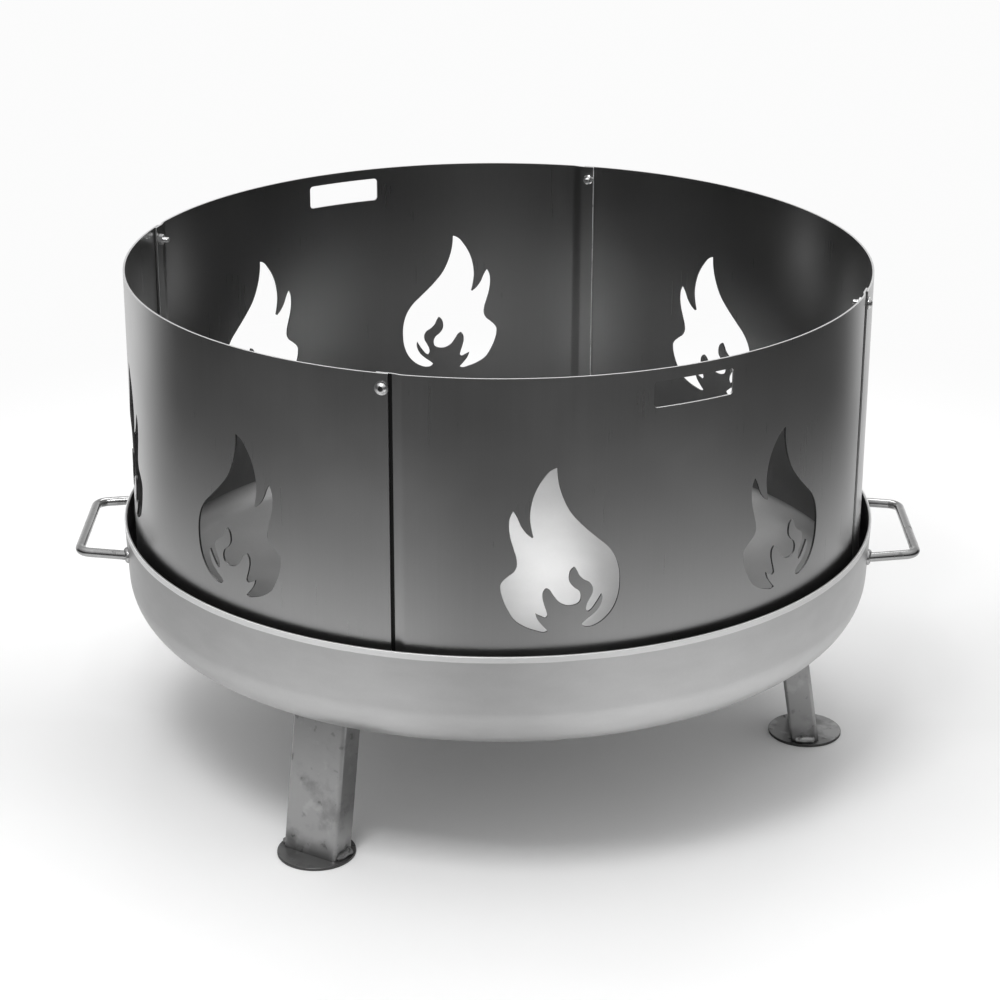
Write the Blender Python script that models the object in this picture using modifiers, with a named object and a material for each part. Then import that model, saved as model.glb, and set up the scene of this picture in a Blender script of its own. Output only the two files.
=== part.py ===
"""Fire basket: a dished steel bowl on three legs, with a spark screen standing in it.

The screen is a ring of four curved sheets. Two opposite sheets have plain ends. The other
two step inward at both ends, pass behind the plain ones and are bolted to them. Each sheet
has two flame-shaped openings, and the stepped sheets have a grip slot under the rim.

Metres, +Z up. The origin is on the ground, under the middle of the bowl. Azimuths turn
counter-clockwise from +X, and the front of the basket faces -Y.
"""

import math

import bmesh
import bpy
import numpy as np
from mathutils import Matrix, Vector

# Bowl: a dished end whose short upper wall leans inward toward the floor
BOWL_DIAMETER = 0.800
BOWL_SHEET = 0.003
BOWL_RIM_HEIGHT = 0.270
BOWL_WALL_LENGTH = 0.060
BOWL_WALL_LEAN = math.radians(2.5)
BOWL_KNUCKLE_RADIUS = 0.052
BOWL_CROWN_RADIUS = 0.850
BOWL_RIM_ROUNDING = 0.0008

# Carrying handles: one bent rod on each side
HANDLE_ROD_DIAMETER = 0.010
HANDLE_BAR_LENGTH = 0.140
HANDLE_REACH = 0.044
HANDLE_DROP = 0.032
HANDLE_BEND_RADIUS = 0.014
HANDLE_ARM_SPLAY = math.radians(11)

# Legs and feet
LEG_COUNT = 3
LEG_WIDTH = 0.064
LEG_DEPTH = 0.030
LEG_WALL = 0.002
LEG_CORNER_RADIUS = 0.004
LEG_LEAN = math.radians(9)
LEG_FRONT_AZIMUTH = math.radians(-122.4)
FOOT_INSET = 0.058
LEG_SETBACK = 0.0016
FOOT_PLATE_DIAMETER = 0.080
FOOT_PLATE_THICKNESS = 0.003
FOOT_PLATE_BEVEL = 0.0004

# Spark screen
SCREEN_RIM_GAP = 0.0087
SCREEN_HEIGHT = 0.353
SCREEN_SHEET = 0.002
SEAT_GAP = 0.0006
PLAIN_PANEL_ANGLE = math.radians(90.85)
FRONT_LAP_AZIMUTH = math.radians(-105.95)
LAP_MARGIN = 0.006
JOGGLE_START = 0.0015
JOGGLE_LENGTH = 0.006

# Lap bolts: flanged button heads outside, hexagon nuts inside
BOLT_DIAMETER = 0.006
BOLT_LENGTH = 0.016
BOLT_END_CHAMFER = 0.0006
BOLT_TOP_DEPTH = 0.014
BOLT_BOTTOM_RISE = 0.020
HEAD_FLANGE_DIAMETER = 0.0136
HEAD_FLANGE_THICKNESS = 0.0009
HEAD_FLANGE_EDGE = 0.0006
HEAD_DOME_DIAMETER = 0.0105
HEAD_FLAT_DIAMETER = 0.0058
HEAD_HEIGHT = 0.0033
SOCKET_WIDTH = 0.004
SOCKET_DEPTH = 0.002
NUT_WIDTH = 0.010
NUT_THICKNESS = 0.005
NUT_BEVEL = 0.0004
HOLE_CLEARANCE = 0.0003

# Grip slots
SLOT_WIDTH = 0.086
SLOT_HEIGHT = 0.026
SLOT_CORNER_RADIUS = 0.004
SLOT_EDGE_DEPTH = 0.0115
SLOT_FROM_LAP = 0.298

# Flame openings
FLAME_WIDTH = 0.1135
FLAME_HEIGHT = 0.1655
FLAME_FOOT_DEPTH = 0.2528
FLAME_FROM_LAP = 0.1615
FLAME_PITCH = 0.2517

# Gap that pieces resting on or welded to each other keep
FIT_GAP = 0.0003

# Fineness of round shapes
BOWL_STEPS = 84
KNUCKLE_STEPS = 7
CROWN_STEPS = 5
CORNER_STEPS = 3
BEND_STEPS = 5
JOGGLE_STEPS = 6
FASTENER_STEPS = 16
DOME_STEPS = 2
DISC_STEPS = 36
PANEL_STEP_ANGLE = math.radians(1.5)
FLAME_CHORD = 0.0075

# The flame figure on a millimetre grid, seen from outside: across from below its main tip,
# and up from its foot. Each stretch is one smooth line, and stretches meet in corners.
FLAME_STRETCHES = (
    # Right flank, round the right tail and back up to the thin wedge
    ((1.5, 165.5), (2.4, 153), (6.5, 137), (14, 121), (25.5, 107), (40, 93), (50.5, 83),
     (57.8, 72), (61.8, 59), (62.7, 45), (61.3, 32), (57, 20.3), (50, 11), (42.5, 5.4),
     (34, 2.6), (28.2, 3.6), (26.4, 6.2), (29, 9), (36, 14.5), (42.3, 21), (45.2, 27.3),
     (45.8, 32.5)),
    # Down the wedge, over the curled tongue, through the pool and over the short tongue
    ((45, 35.2), (42, 29.8), (38, 23.8), (34.6, 19.7), (32.2, 18.4), (30.6, 20.3),
     (30.6, 25.3), (33, 30.8), (36.2, 37.3), (36.4, 43), (34, 47.3), (28.3, 51), (23.6, 56),
     (21, 61.5), (18.6, 64.6), (15.6, 62.2), (13.6, 55.3), (14.2, 50.2), (18.3, 44.5),
     (23.2, 40.4), (25.2, 35), (23.8, 28.8), (19, 26.2), (12, 26), (5, 29.4), (-1, 37.2),
     (-5, 43), (-7.6, 44.4), (-10.4, 41.5), (-11.2, 35.5), (-9.6, 27.8), (-7.2, 20),
     (-6.6, 16.6), (-8.3, 14.6), (-12.5, 16.2)),
    # Down the left tail's inner side
    ((-17.8, 19.1), (-15.8, 13.3), (-11.5, 7.4)),
    # Round the belly and up the small side flame
    ((-6, 1.2), (-8, 0), (-18, 1.8), (-28, 6), (-37.5, 13), (-43.6, 23), (-48, 33.5),
     (-50.4, 44.5), (-50.2, 50), (-48.5, 53), (-43, 58.4), (-38, 62.6), (-35.4, 68),
     (-35.6, 75), (-38, 84), (-41.3, 96), (-42.7, 108), (-41.9, 117)),
    # From the side flame's tip into the notch
    ((-39, 123.3), (-36, 118.3), (-31, 107), (-26, 100.3)),
    # Across the notch
    ((-21.3, 96.4),),
    # Left flank, up to the main tip
    ((-20.2, 97.2), (-22.2, 106), (-23.4, 116), (-22.6, 127), (-19, 141), (-12, 154),
     (-4, 163.2)),
)

# Sizes that follow from the ones above
BOWL_RADIUS = BOWL_DIAMETER / 2
SCREEN_RADIUS = BOWL_RADIUS - BOWL_SHEET - SCREEN_RIM_GAP
SHEET_RADIUS = SCREEN_RADIUS - SCREEN_SHEET / 2
TAB_RADIUS = SHEET_RADIUS - SCREEN_SHEET - FIT_GAP
STEPPED_PANEL_ANGLE = math.pi - PLAIN_PANEL_ANGLE
FOOT_CIRCLE_RADIUS = BOWL_RADIUS - FOOT_INSET

# Colour, metallic value and roughness of each finish
FINISHES = {
    "bowl_steel": ((0.36, 0.36, 0.36), 0.9, 0.42),
    "handle_steel": ((0.42, 0.42, 0.42), 0.95, 0.35),
    "leg_steel": ((0.24, 0.24, 0.24), 0.9, 0.45),
    "plate_steel": ((0.16, 0.16, 0.16), 0.9, 0.40),
    "screen_steel": ((0.20, 0.20, 0.20), 0.9, 0.38),
    "zinc": ((0.62, 0.62, 0.62), 1.0, 0.25),
}


def clear_scene():
    """Remove whatever objects the open file holds."""
    for existing in list(bpy.data.objects):
        bpy.data.objects.remove(existing, do_unlink=True)


def finish(name):
    """The material of one finish, made once."""
    material = bpy.data.materials.get(name)
    if material is None:
        colour, metallic, roughness = FINISHES[name]
        material = bpy.data.materials.new(name)
        material.use_nodes = True
        shader = material.node_tree.nodes["Principled BSDF"]
        shader.inputs["Base Color"].default_value = (*colour, 1)
        shader.inputs["Metallic"].default_value = metallic
        shader.inputs["Roughness"].default_value = roughness
    return material


def add_object(name, mesh, collection):
    """Link a new object that shows the mesh."""
    thing = bpy.data.objects.new(name, mesh)
    collection.objects.link(thing)
    return thing


def add_part(name, mesh, material):
    """One piece of the basket, shaded smooth except over sharp edges."""
    if not mesh.materials:
        mesh.materials.append(finish(material))
    mesh.shade_smooth()
    mesh.set_sharp_from_angle(angle=math.radians(30))
    return add_object(name, mesh, PARTS)


def add_cutter(name, mesh):
    """A solid that only removes material from others."""
    cutter = add_object(name, mesh, CUTTERS)
    cutter.hide_render = True
    cutter.display_type = "WIRE"
    return cutter


def cut(part, cutter):
    """Take the cutter's shape out of the part."""
    modifier = part.modifiers.new(cutter.name, "BOOLEAN")
    modifier.operation = "DIFFERENCE"
    modifier.object = cutter


def baked_mesh(thing, name):
    """The mesh that an object's modifiers or curve make; the object itself is removed."""
    bpy.context.view_layer.update()
    evaluated = thing.evaluated_get(bpy.context.evaluated_depsgraph_get())
    mesh = bpy.data.meshes.new_from_object(evaluated)
    mesh.name = name
    bpy.data.objects.remove(thing, do_unlink=True)
    solid = bmesh.new()
    solid.from_mesh(mesh)
    bmesh.ops.remove_doubles(solid, verts=solid.verts, dist=1e-6)
    bmesh.ops.recalc_face_normals(solid, faces=solid.faces)
    solid.to_mesh(mesh)
    solid.free()
    return mesh


def filleted(corners, radius, steps, closed):
    """A path of straight runs whose corners are round, as Vectors."""
    corners = [Vector(corner) for corner in corners]
    path = []
    for index, corner in enumerate(corners):
        if not closed and index in (0, len(corners) - 1):
            path.append(corner)
            continue
        arriving = (corner - corners[index - 1]).normalized()
        leaving = (corners[(index + 1) % len(corners)] - corner).normalized()
        turn = arriving.angle(leaving)
        inward = (leaving - arriving * leaving.dot(arriving)).normalized()
        start = corner - arriving * radius * math.tan(turn / 2)
        centre = start + inward * radius
        for step in range(steps + 1):
            angle = turn * step / steps
            path.append(centre - inward * radius * math.cos(angle) + arriving * radius * math.sin(angle))
    return path


def rectangle(width, height):
    """Corners of a rectangle round the origin, counter-clockwise."""
    x, y = width / 2, height / 2
    return [(-x, -y), (x, -y), (x, y), (-x, y)]


def outline_solid(name, outlines, thickness):
    """Mesh of a flat outline, with any further outlines as holes, extruded both ways."""
    curve = bpy.data.curves.new(name, "CURVE")
    curve.dimensions = "2D"
    curve.fill_mode = "BOTH"
    curve.extrude = thickness / 2
    for outline in outlines:
        spline = curve.splines.new("POLY")
        spline.points.add(len(outline) - 1)
        spline.use_cyclic_u = True
        for point, place in zip(spline.points, outline):
            point.co = (place[0], place[1], 0, 1)
    return baked_mesh(add_object(name, curve, CUTTERS), name)


def turned_object(name, section, steps, collection):
    """An object turned about Z from a section of (radius, height) points."""
    mesh = bpy.data.meshes.new(name)
    links = [(index, index + 1) for index in range(len(section) - 1)]
    mesh.from_pydata([(radius, 0, height) for radius, height in section], links, [])
    thing = add_object(name, mesh, collection)
    screw = thing.modifiers.new("Turn", "SCREW")
    screw.steps = screw.render_steps = steps
    screw.use_merge_vertices = True
    screw.merge_threshold = 1e-5
    screw.use_smooth_shade = True
    return thing


def arc(centre, radius, start, end, steps):
    """Points of an arc in a section, its angles measured from the +radius direction."""
    angles = [start + (end - start) * step / steps for step in range(steps + 1)]
    return [(centre[0] + radius * math.cos(angle), centre[1] + radius * math.sin(angle)) for angle in angles]


def bowl_centres():
    """Centres of the knuckle and crown arcs in section, and the angle where they meet."""
    cosine, sine = math.cos(BOWL_WALL_LEAN), math.sin(BOWL_WALL_LEAN)
    knuckle = (
        BOWL_RADIUS - BOWL_WALL_LENGTH * sine - BOWL_KNUCKLE_RADIUS * cosine,
        BOWL_RIM_HEIGHT - BOWL_WALL_LENGTH * cosine + BOWL_KNUCKLE_RADIUS * sine,
    )
    rise = math.sqrt((BOWL_CROWN_RADIUS - BOWL_KNUCKLE_RADIUS) ** 2 - knuckle[0] ** 2)
    return knuckle, (0, knuckle[1] + rise), math.atan2(rise, knuckle[0])


def bowl_dish(outset):
    """Section of the dish below its wall, knuckle to pole, moved out from the outer face."""
    knuckle, crown, meeting = bowl_centres()
    knuckle_arc = arc(knuckle, BOWL_KNUCKLE_RADIUS + outset, -BOWL_WALL_LEAN, -meeting, KNUCKLE_STEPS)
    crown_arc = arc(crown, BOWL_CROWN_RADIUS + outset, -meeting, -math.pi / 2, CROWN_STEPS)
    pole = (0, crown_arc[-1][1])
    return knuckle_arc + crown_arc[1:-1] + [pole]


def rim_radius(outset):
    """Radius of the wall at the height of the rim."""
    return BOWL_RADIUS + outset / math.cos(BOWL_WALL_LEAN)


def bowl_inside_height(radius, gap):
    """Height of the dish's inner face at a radius, with a gap kept square to the face."""
    knuckle, crown, meeting = bowl_centres()
    knuckle_reach = BOWL_KNUCKLE_RADIUS - BOWL_SHEET - gap
    crown_reach = BOWL_CROWN_RADIUS - BOWL_SHEET - gap
    if radius > crown_reach * math.cos(meeting):
        return knuckle[1] - math.sqrt(knuckle_reach ** 2 - (radius - knuckle[0]) ** 2)
    return crown[1] - math.sqrt(crown_reach ** 2 - radius ** 2)


def add_bowl():
    """The bowl, turned from one section: up its inside, over the rim and down its outside."""
    inner, outer, edge = rim_radius(-BOWL_SHEET), rim_radius(0), BOWL_RIM_ROUNDING
    inner_edge = arc((inner + edge, BOWL_RIM_HEIGHT - edge), edge, math.pi, math.pi / 2, 2)
    outer_edge = arc((outer - edge, BOWL_RIM_HEIGHT - edge), edge, math.pi / 2, 0, 2)
    section = bowl_dish(-BOWL_SHEET)[::-1] + inner_edge + outer_edge + bowl_dish(0)
    bowl = turned_object("fire_bowl", section, BOWL_STEPS, PARTS)
    bowl.data.materials.append(finish("bowl_steel"))


def add_bowl_cutter():
    """The bowl's outer form as a solid block, to trim what is welded to the bowl."""
    rim = (rim_radius(FIT_GAP), BOWL_RIM_HEIGHT)
    section = [(0, BOWL_RIM_HEIGHT), rim] + bowl_dish(FIT_GAP)
    cutter = turned_object("bowl_form", section, BOWL_STEPS, CUTTERS)
    cutter.hide_render = True
    cutter.display_type = "WIRE"
    return cutter


def handle_path():
    """Centre line of a handle in its own plane, with both ends inside the bowl's wall."""
    bar_x = BOWL_RADIUS + HANDLE_REACH
    corner = Vector((bar_x, HANDLE_BAR_LENGTH / 2, 0))
    toward_bowl = Vector((-math.cos(HANDLE_ARM_SPLAY), math.sin(HANDLE_ARM_SPLAY), 0))
    root_radius = BOWL_RADIUS - 2 * HANDLE_ROD_DIAMETER
    along = corner.dot(toward_bowl)
    arm = -along - math.sqrt(along ** 2 - corner.length_squared + root_radius ** 2)
    root = corner + toward_bowl * arm
    mirror = Vector((1, -1, 1))
    corners = [root, corner, corner * mirror, root * mirror]
    return filleted(corners, HANDLE_BEND_RADIUS, BEND_STEPS, closed=False)


def handle_mesh():
    """A bent round rod."""
    curve = bpy.data.curves.new("handle", "CURVE")
    curve.dimensions = "3D"
    curve.bevel_depth = HANDLE_ROD_DIAMETER / 2
    curve.bevel_resolution = 2
    curve.use_fill_caps = True
    path = handle_path()
    spline = curve.splines.new("POLY")
    spline.points.add(len(path) - 1)
    for point, place in zip(spline.points, path):
        point.co = (*place, 1)
    return baked_mesh(add_object("handle", curve, CUTTERS), "handle")


def add_handles(bowl_form):
    """Two handles, trimmed to meet the bowl's wall."""
    mesh = handle_mesh()
    for side, azimuth in (("right", 0), ("left", math.pi)):
        handle = add_part(f"handle_{side}", mesh, "handle_steel")
        handle.location.z = BOWL_RIM_HEIGHT - HANDLE_DROP
        handle.rotation_euler.z = azimuth
        cut(handle, bowl_form)


def leg_mesh(length):
    """A rectangular tube with round corners, its wide faces square to local X."""
    outer = filleted(rectangle(LEG_DEPTH, LEG_WIDTH), LEG_CORNER_RADIUS, CORNER_STEPS, closed=True)
    bore = rectangle(LEG_DEPTH - 2 * LEG_WALL, LEG_WIDTH - 2 * LEG_WALL)
    inner = filleted(bore, LEG_CORNER_RADIUS - LEG_WALL, CORNER_STEPS, closed=True)
    return outline_solid("leg", [outer, inner], length)


def ground_block_mesh(top):
    """A block from well below the ground up to a height, wider than the basket."""
    block = bmesh.new()
    width, depth = 2 * BOWL_DIAMETER, BOWL_RIM_HEIGHT
    stretch = Matrix.Diagonal((width, width, depth, 1))
    bmesh.ops.create_cube(block, size=1, matrix=Matrix.Translation((0, 0, top - depth / 2)) @ stretch)
    mesh = bpy.data.meshes.new("ground_block")
    block.to_mesh(mesh)
    block.free()
    return mesh


def add_legs(bowl_form):
    """Leaning tubes from the foot plates up to the bowl, and the round plates themselves."""
    ground = add_cutter("ground_block", ground_block_mesh(FOOT_PLATE_THICKNESS + FIT_GAP))
    overrun = LEG_DEPTH
    span = BOWL_RIM_HEIGHT - FOOT_PLATE_THICKNESS
    mesh = leg_mesh(span / math.cos(LEG_LEAN))
    middle_height = FOOT_PLATE_THICKNESS - overrun + span / 2
    foot_radius = FOOT_CIRCLE_RADIUS - LEG_SETBACK
    middle_radius = foot_radius - (middle_height - FOOT_PLATE_THICKNESS) * math.tan(LEG_LEAN)
    for index, place in enumerate(("front", "right", "rear")):
        azimuth = LEG_FRONT_AZIMUTH + index * math.tau / LEG_COUNT
        turn = Matrix.Rotation(azimuth, 4, "Z")
        leg = add_part(f"leg_{place}", mesh, "leg_steel")
        leg.location = turn @ Vector((middle_radius, 0, middle_height))
        leg.rotation_euler = (turn @ Matrix.Rotation(-LEG_LEAN, 4, "Y")).to_euler()
        cut(leg, bowl_form)
        cut(leg, ground)
        add_foot_plate(place, turn @ Vector((FOOT_CIRCLE_RADIUS, 0, FOOT_PLATE_THICKNESS / 2)))


def add_foot_plate(place, centre):
    """A round plate that lies on the ground."""
    bpy.ops.mesh.primitive_cylinder_add(
        vertices=DISC_STEPS, radius=FOOT_PLATE_DIAMETER / 2, depth=FOOT_PLATE_THICKNESS, location=centre
    )
    made = bpy.context.object
    plate = add_part(f"foot_plate_{place}", made.data, "plate_steel")
    plate.location = centre
    bpy.data.objects.remove(made, do_unlink=True)
    bevel = plate.modifiers.new("Edge", "BEVEL")
    bevel.width = FOOT_PLATE_BEVEL
    bevel.segments = 1


def smooth_stretch(points):
    """Points of a smooth line through the given ones, the last one left out."""
    knots = np.array(points, dtype=float)
    if len(knots) < 3:
        return knots[:-1].tolist()
    chords = np.linalg.norm(np.diff(knots, axis=0), axis=1)[:, None]
    slopes = np.diff(knots, axis=0) / chords
    inner = (slopes[:-1] * chords[1:] + slopes[1:] * chords[:-1]) / (chords[:-1] + chords[1:])
    tangents = np.vstack([2 * slopes[0] - inner[0], inner, 2 * slopes[-1] - inner[-1]])
    line = []
    for index, chord in enumerate(chords[:, 0]):
        steps = 1 + int(chord / FLAME_CHORD)
        for t in np.arange(steps) / steps:
            place = (1 + 2 * t) * (1 - t) ** 2 * knots[index] + t * t * (3 - 2 * t) * knots[index + 1]
            heading = (1 - t) ** 2 * tangents[index] - t * (1 - t) * tangents[index + 1]
            line.append((place + t * chord * heading).tolist())
    return line


def flame_outline():
    """The flame figure in metres, at its stated width and height."""
    drawn = np.vstack([np.array(stretch) for stretch in FLAME_STRETCHES])
    scale = np.array((FLAME_WIDTH, FLAME_HEIGHT)) / (drawn.max(axis=0) - drawn.min(axis=0))
    stretches = [np.array(stretch) * scale for stretch in FLAME_STRETCHES]
    outline = []
    for stretch, following in zip(stretches, stretches[1:] + stretches[:1]):
        outline += smooth_stretch(np.vstack([stretch, following[:1]]))
    return outline


def ring_place(azimuth, radius, height):
    """Location and rotation on the ring: local X runs round it, Y up and Z outward."""
    location = Vector((radius * math.cos(azimuth), radius * math.sin(azimuth), height))
    return location, (math.pi / 2, 0, azimuth + math.pi / 2)


def put_on_ring(thing, screen, azimuth, radius, height):
    """Place an object on the ring as a child of the screen."""
    thing.parent = screen
    thing.location, thing.rotation_euler = ring_place(azimuth, radius, height)


def plain_path():
    """Plan line of a plain sheet, past the bolt rows by the margin at both ends."""
    half = PLAIN_PANEL_ANGLE / 2 + LAP_MARGIN / SHEET_RADIUS
    steps = math.ceil(2 * half / PANEL_STEP_ANGLE)
    return [(SHEET_RADIUS, -half + 2 * half * step / steps) for step in range(steps + 1)]


def stepped_path():
    """Plan line of a stepped sheet: tab, joggle, main arc, joggle and tab."""
    bolt_row = STEPPED_PANEL_ANGLE / 2
    tab_end = bolt_row + LAP_MARGIN / TAB_RADIUS
    joggle_start = bolt_row - (LAP_MARGIN + JOGGLE_START) / SHEET_RADIUS
    joggle_end = joggle_start - JOGGLE_LENGTH / SHEET_RADIUS
    end = [(TAB_RADIUS, tab_end), (TAB_RADIUS, bolt_row)]
    for step in range(JOGGLE_STEPS + 1):
        t = step / JOGGLE_STEPS
        radius = TAB_RADIUS + (SHEET_RADIUS - TAB_RADIUS) * t * t * (3 - 2 * t)
        end.append((radius, joggle_start + (joggle_end - joggle_start) * t))
    steps = math.ceil(2 * joggle_end / PANEL_STEP_ANGLE)
    middle = [(SHEET_RADIUS, -joggle_end + 2 * joggle_end * step / steps) for step in range(1, steps)]
    start = [(radius, -angle) for radius, angle in end]
    return start + middle + end[::-1]


def standing_sheet_mesh(name, path):
    """An open upright surface over a plan line of (radius, angle) points."""
    sheet = bmesh.new()
    points = [(radius * math.cos(angle), radius * math.sin(angle), 0) for radius, angle in path]
    foot = [sheet.verts.new(point) for point in points]
    line = [sheet.edges.new(pair) for pair in zip(foot, foot[1:])]
    raised = bmesh.ops.extrude_edge_only(sheet, edges=line)["geom"]
    top = [vertex for vertex in raised if isinstance(vertex, bmesh.types.BMVert)]
    bmesh.ops.translate(sheet, verts=top, vec=(0, 0, SCREEN_HEIGHT))
    mesh = bpy.data.meshes.new(name)
    sheet.to_mesh(mesh)
    sheet.free()
    return mesh


def cut_bolt_holes(panel, screen, half_angle, centre):
    """Holes for the lap bolts, near the top and the bottom of both ends."""
    for end, azimuth in (("start", centre - half_angle), ("end", centre + half_angle)):
        for level, height in bolt_heights():
            bpy.ops.mesh.primitive_cylinder_add(
                vertices=FASTENER_STEPS, radius=BOLT_DIAMETER / 2 + HOLE_CLEARANCE, depth=8 * SCREEN_SHEET
            )
            made = bpy.context.object
            drill = add_cutter(f"{panel.name}_hole_{end}_{level}", made.data)
            bpy.data.objects.remove(made, do_unlink=True)
            put_on_ring(drill, screen, azimuth, SHEET_RADIUS, height)
            cut(panel, drill)


def bolt_heights():
    """Names and heights of the two bolts of a lap, above the screen's foot."""
    return (("bottom", BOLT_BOTTOM_RISE), ("top", SCREEN_HEIGHT - BOLT_TOP_DEPTH))


def cut_flames(panel, screen, lap_azimuth, direction, mesh):
    """Two flames, counted from the lap that their small side flames point to."""
    for index in range(2):
        along = FLAME_FROM_LAP + index * FLAME_PITCH
        flame = add_cutter(f"{panel.name}_flame_{index + 1}", mesh)
        azimuth = lap_azimuth + direction * along / SCREEN_RADIUS
        put_on_ring(flame, screen, azimuth, SHEET_RADIUS, SCREEN_HEIGHT - FLAME_FOOT_DEPTH)
        cut(panel, flame)


def cut_slot(panel, screen, lap_azimuth, mesh):
    """The grip slot under the rim."""
    slot = add_cutter(f"{panel.name}_slot", mesh)
    height = SCREEN_HEIGHT - SLOT_EDGE_DEPTH - SLOT_HEIGHT / 2
    put_on_ring(slot, screen, lap_azimuth + SLOT_FROM_LAP / SCREEN_RADIUS, SHEET_RADIUS, height)
    cut(panel, slot)


def sheet_depth(width):
    """Thickness of a cutter that passes the curved sheet over its whole width."""
    sagitta = SHEET_RADIUS - math.sqrt(SHEET_RADIUS ** 2 - width ** 2)
    return 2 * (sagitta + 2 * SCREEN_SHEET)


def add_panel(name, mesh, screen, centre):
    """One curved sheet, given its thickness."""
    panel = add_part(name, mesh, "screen_steel")
    panel.parent = screen
    panel.rotation_euler.z = centre
    thickness = panel.modifiers.new("Sheet", "SOLIDIFY")
    thickness.thickness = SCREEN_SHEET
    thickness.offset = 0
    thickness.use_even_offset = True
    return panel


def add_panels(screen):
    """Four sheets; those across from each other are alike."""
    outline = flame_outline()
    depth = sheet_depth(FLAME_WIDTH)
    flame = outline_solid("flame", [outline], depth)
    mirrored_flame = outline_solid("mirrored_flame", [[(-x, y) for x, y in outline]], depth)
    slot_corners = rectangle(SLOT_WIDTH, SLOT_HEIGHT)
    slot_outline = filleted(slot_corners, SLOT_CORNER_RADIUS, CORNER_STEPS, closed=True)
    slot = outline_solid("slot", [slot_outline], sheet_depth(SLOT_WIDTH))
    plain = standing_sheet_mesh("plain_sheet", plain_path())
    stepped = standing_sheet_mesh("stepped_sheet", stepped_path())
    for turn, plain_name, stepped_name in ((0, "left", "front"), (math.pi, "right", "back")):
        lap = FRONT_LAP_AZIMUTH + turn
        centre = lap - PLAIN_PANEL_ANGLE / 2
        panel = add_panel(f"screen_panel_plain_{plain_name}", plain, screen, centre)
        cut_bolt_holes(panel, screen, PLAIN_PANEL_ANGLE / 2, centre)
        cut_flames(panel, screen, lap, -1, mirrored_flame)
        centre = lap + STEPPED_PANEL_ANGLE / 2
        panel = add_panel(f"screen_panel_stepped_{stepped_name}", stepped, screen, centre)
        cut_bolt_holes(panel, screen, STEPPED_PANEL_ANGLE / 2, centre)
        cut_flames(panel, screen, lap, 1, flame)
        cut_slot(panel, screen, lap, slot)


def hexagon_prism(name, width, depth):
    """A hexagonal prism about Z, centred on the origin, from its width across flats."""
    prism = bmesh.new()
    corner_radius = width / math.sqrt(3)
    bmesh.ops.create_cone(
        prism, cap_ends=True, segments=6, radius1=corner_radius, radius2=corner_radius, depth=depth
    )
    mesh = bpy.data.meshes.new(name)
    prism.to_mesh(mesh)
    prism.free()
    return mesh


def bolt_mesh():
    """A button-head bolt along Z, its head's flange resting on the plane Z = 0."""
    shank, tip = BOLT_DIAMETER / 2, BOLT_DIAMETER / 2 - BOLT_END_CHAMFER
    flange, dome, flat = HEAD_FLANGE_DIAMETER / 2, HEAD_DOME_DIAMETER / 2, HEAD_FLAT_DIAMETER / 2
    rise = HEAD_HEIGHT - HEAD_FLANGE_THICKNESS
    centre = (HEAD_HEIGHT + HEAD_FLANGE_THICKNESS - (dome ** 2 - flat ** 2) / rise) / 2
    dome_radius = math.hypot(flat, HEAD_HEIGHT - centre)
    top_angle = math.atan2(HEAD_HEIGHT - centre, flat)
    edge_angle = math.atan2(HEAD_FLANGE_THICKNESS - centre, dome)
    section = [
        (0, HEAD_HEIGHT),
        *arc((0, centre), dome_radius, top_angle, edge_angle, DOME_STEPS),
        (flange, HEAD_FLANGE_EDGE),
        (flange, 0),
        (shank, 0),
        (shank, BOLT_END_CHAMFER - BOLT_LENGTH),
        (tip, -BOLT_LENGTH),
        (0, -BOLT_LENGTH),
    ]
    bolt = turned_object("bolt", section, FASTENER_STEPS, CUTTERS)
    socket = add_object("socket", hexagon_prism("socket", SOCKET_WIDTH, 2 * SOCKET_DEPTH), CUTTERS)
    socket.location.z = HEAD_HEIGHT
    cut(bolt, socket)
    mesh = baked_mesh(bolt, "bolt")
    bpy.data.objects.remove(socket, do_unlink=True)
    return mesh


def nut_mesh():
    """A hexagon nut about Z, centred on the origin."""
    nut = add_object("nut", hexagon_prism("nut", NUT_WIDTH, NUT_THICKNESS), CUTTERS)
    bevel = nut.modifiers.new("Edges", "BEVEL")
    bevel.width = NUT_BEVEL
    bevel.segments = 1
    bpy.ops.mesh.primitive_cylinder_add(
        vertices=FASTENER_STEPS, radius=BOLT_DIAMETER / 2 + HOLE_CLEARANCE, depth=2 * NUT_THICKNESS
    )
    bore = bpy.context.object
    cut(nut, bore)
    mesh = baked_mesh(nut, "nut")
    bpy.data.objects.remove(bore, do_unlink=True)
    return mesh


def add_lap_fasteners(screen):
    """A bolt and a nut near the top and the bottom of each of the four laps."""
    bolt, nut = bolt_mesh(), nut_mesh()
    nut_radius = TAB_RADIUS - SCREEN_SHEET / 2 - FIT_GAP - NUT_THICKNESS / 2
    laps = (
        ("front", FRONT_LAP_AZIMUTH),
        ("right", FRONT_LAP_AZIMUTH + STEPPED_PANEL_ANGLE),
        ("back", FRONT_LAP_AZIMUTH + math.pi),
        ("left", FRONT_LAP_AZIMUTH + math.pi + STEPPED_PANEL_ANGLE),
    )
    for lap, azimuth in laps:
        for level, height in bolt_heights():
            part = add_part(f"lap_bolt_{lap}_{level}", bolt, "zinc")
            put_on_ring(part, screen, azimuth, SCREEN_RADIUS + FIT_GAP, height)
            part = add_part(f"lap_nut_{lap}_{level}", nut, "zinc")
            put_on_ring(part, screen, azimuth, nut_radius, height)


def add_screen():
    """The screen, carried by an empty on the line along which it lifts out of the bowl."""
    screen = bpy.data.objects.new("screen_lift", None)
    PARTS.objects.link(screen)
    screen.location.z = bowl_inside_height(SCREEN_RADIUS, SEAT_GAP)
    add_panels(screen)
    add_lap_fasteners(screen)


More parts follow.
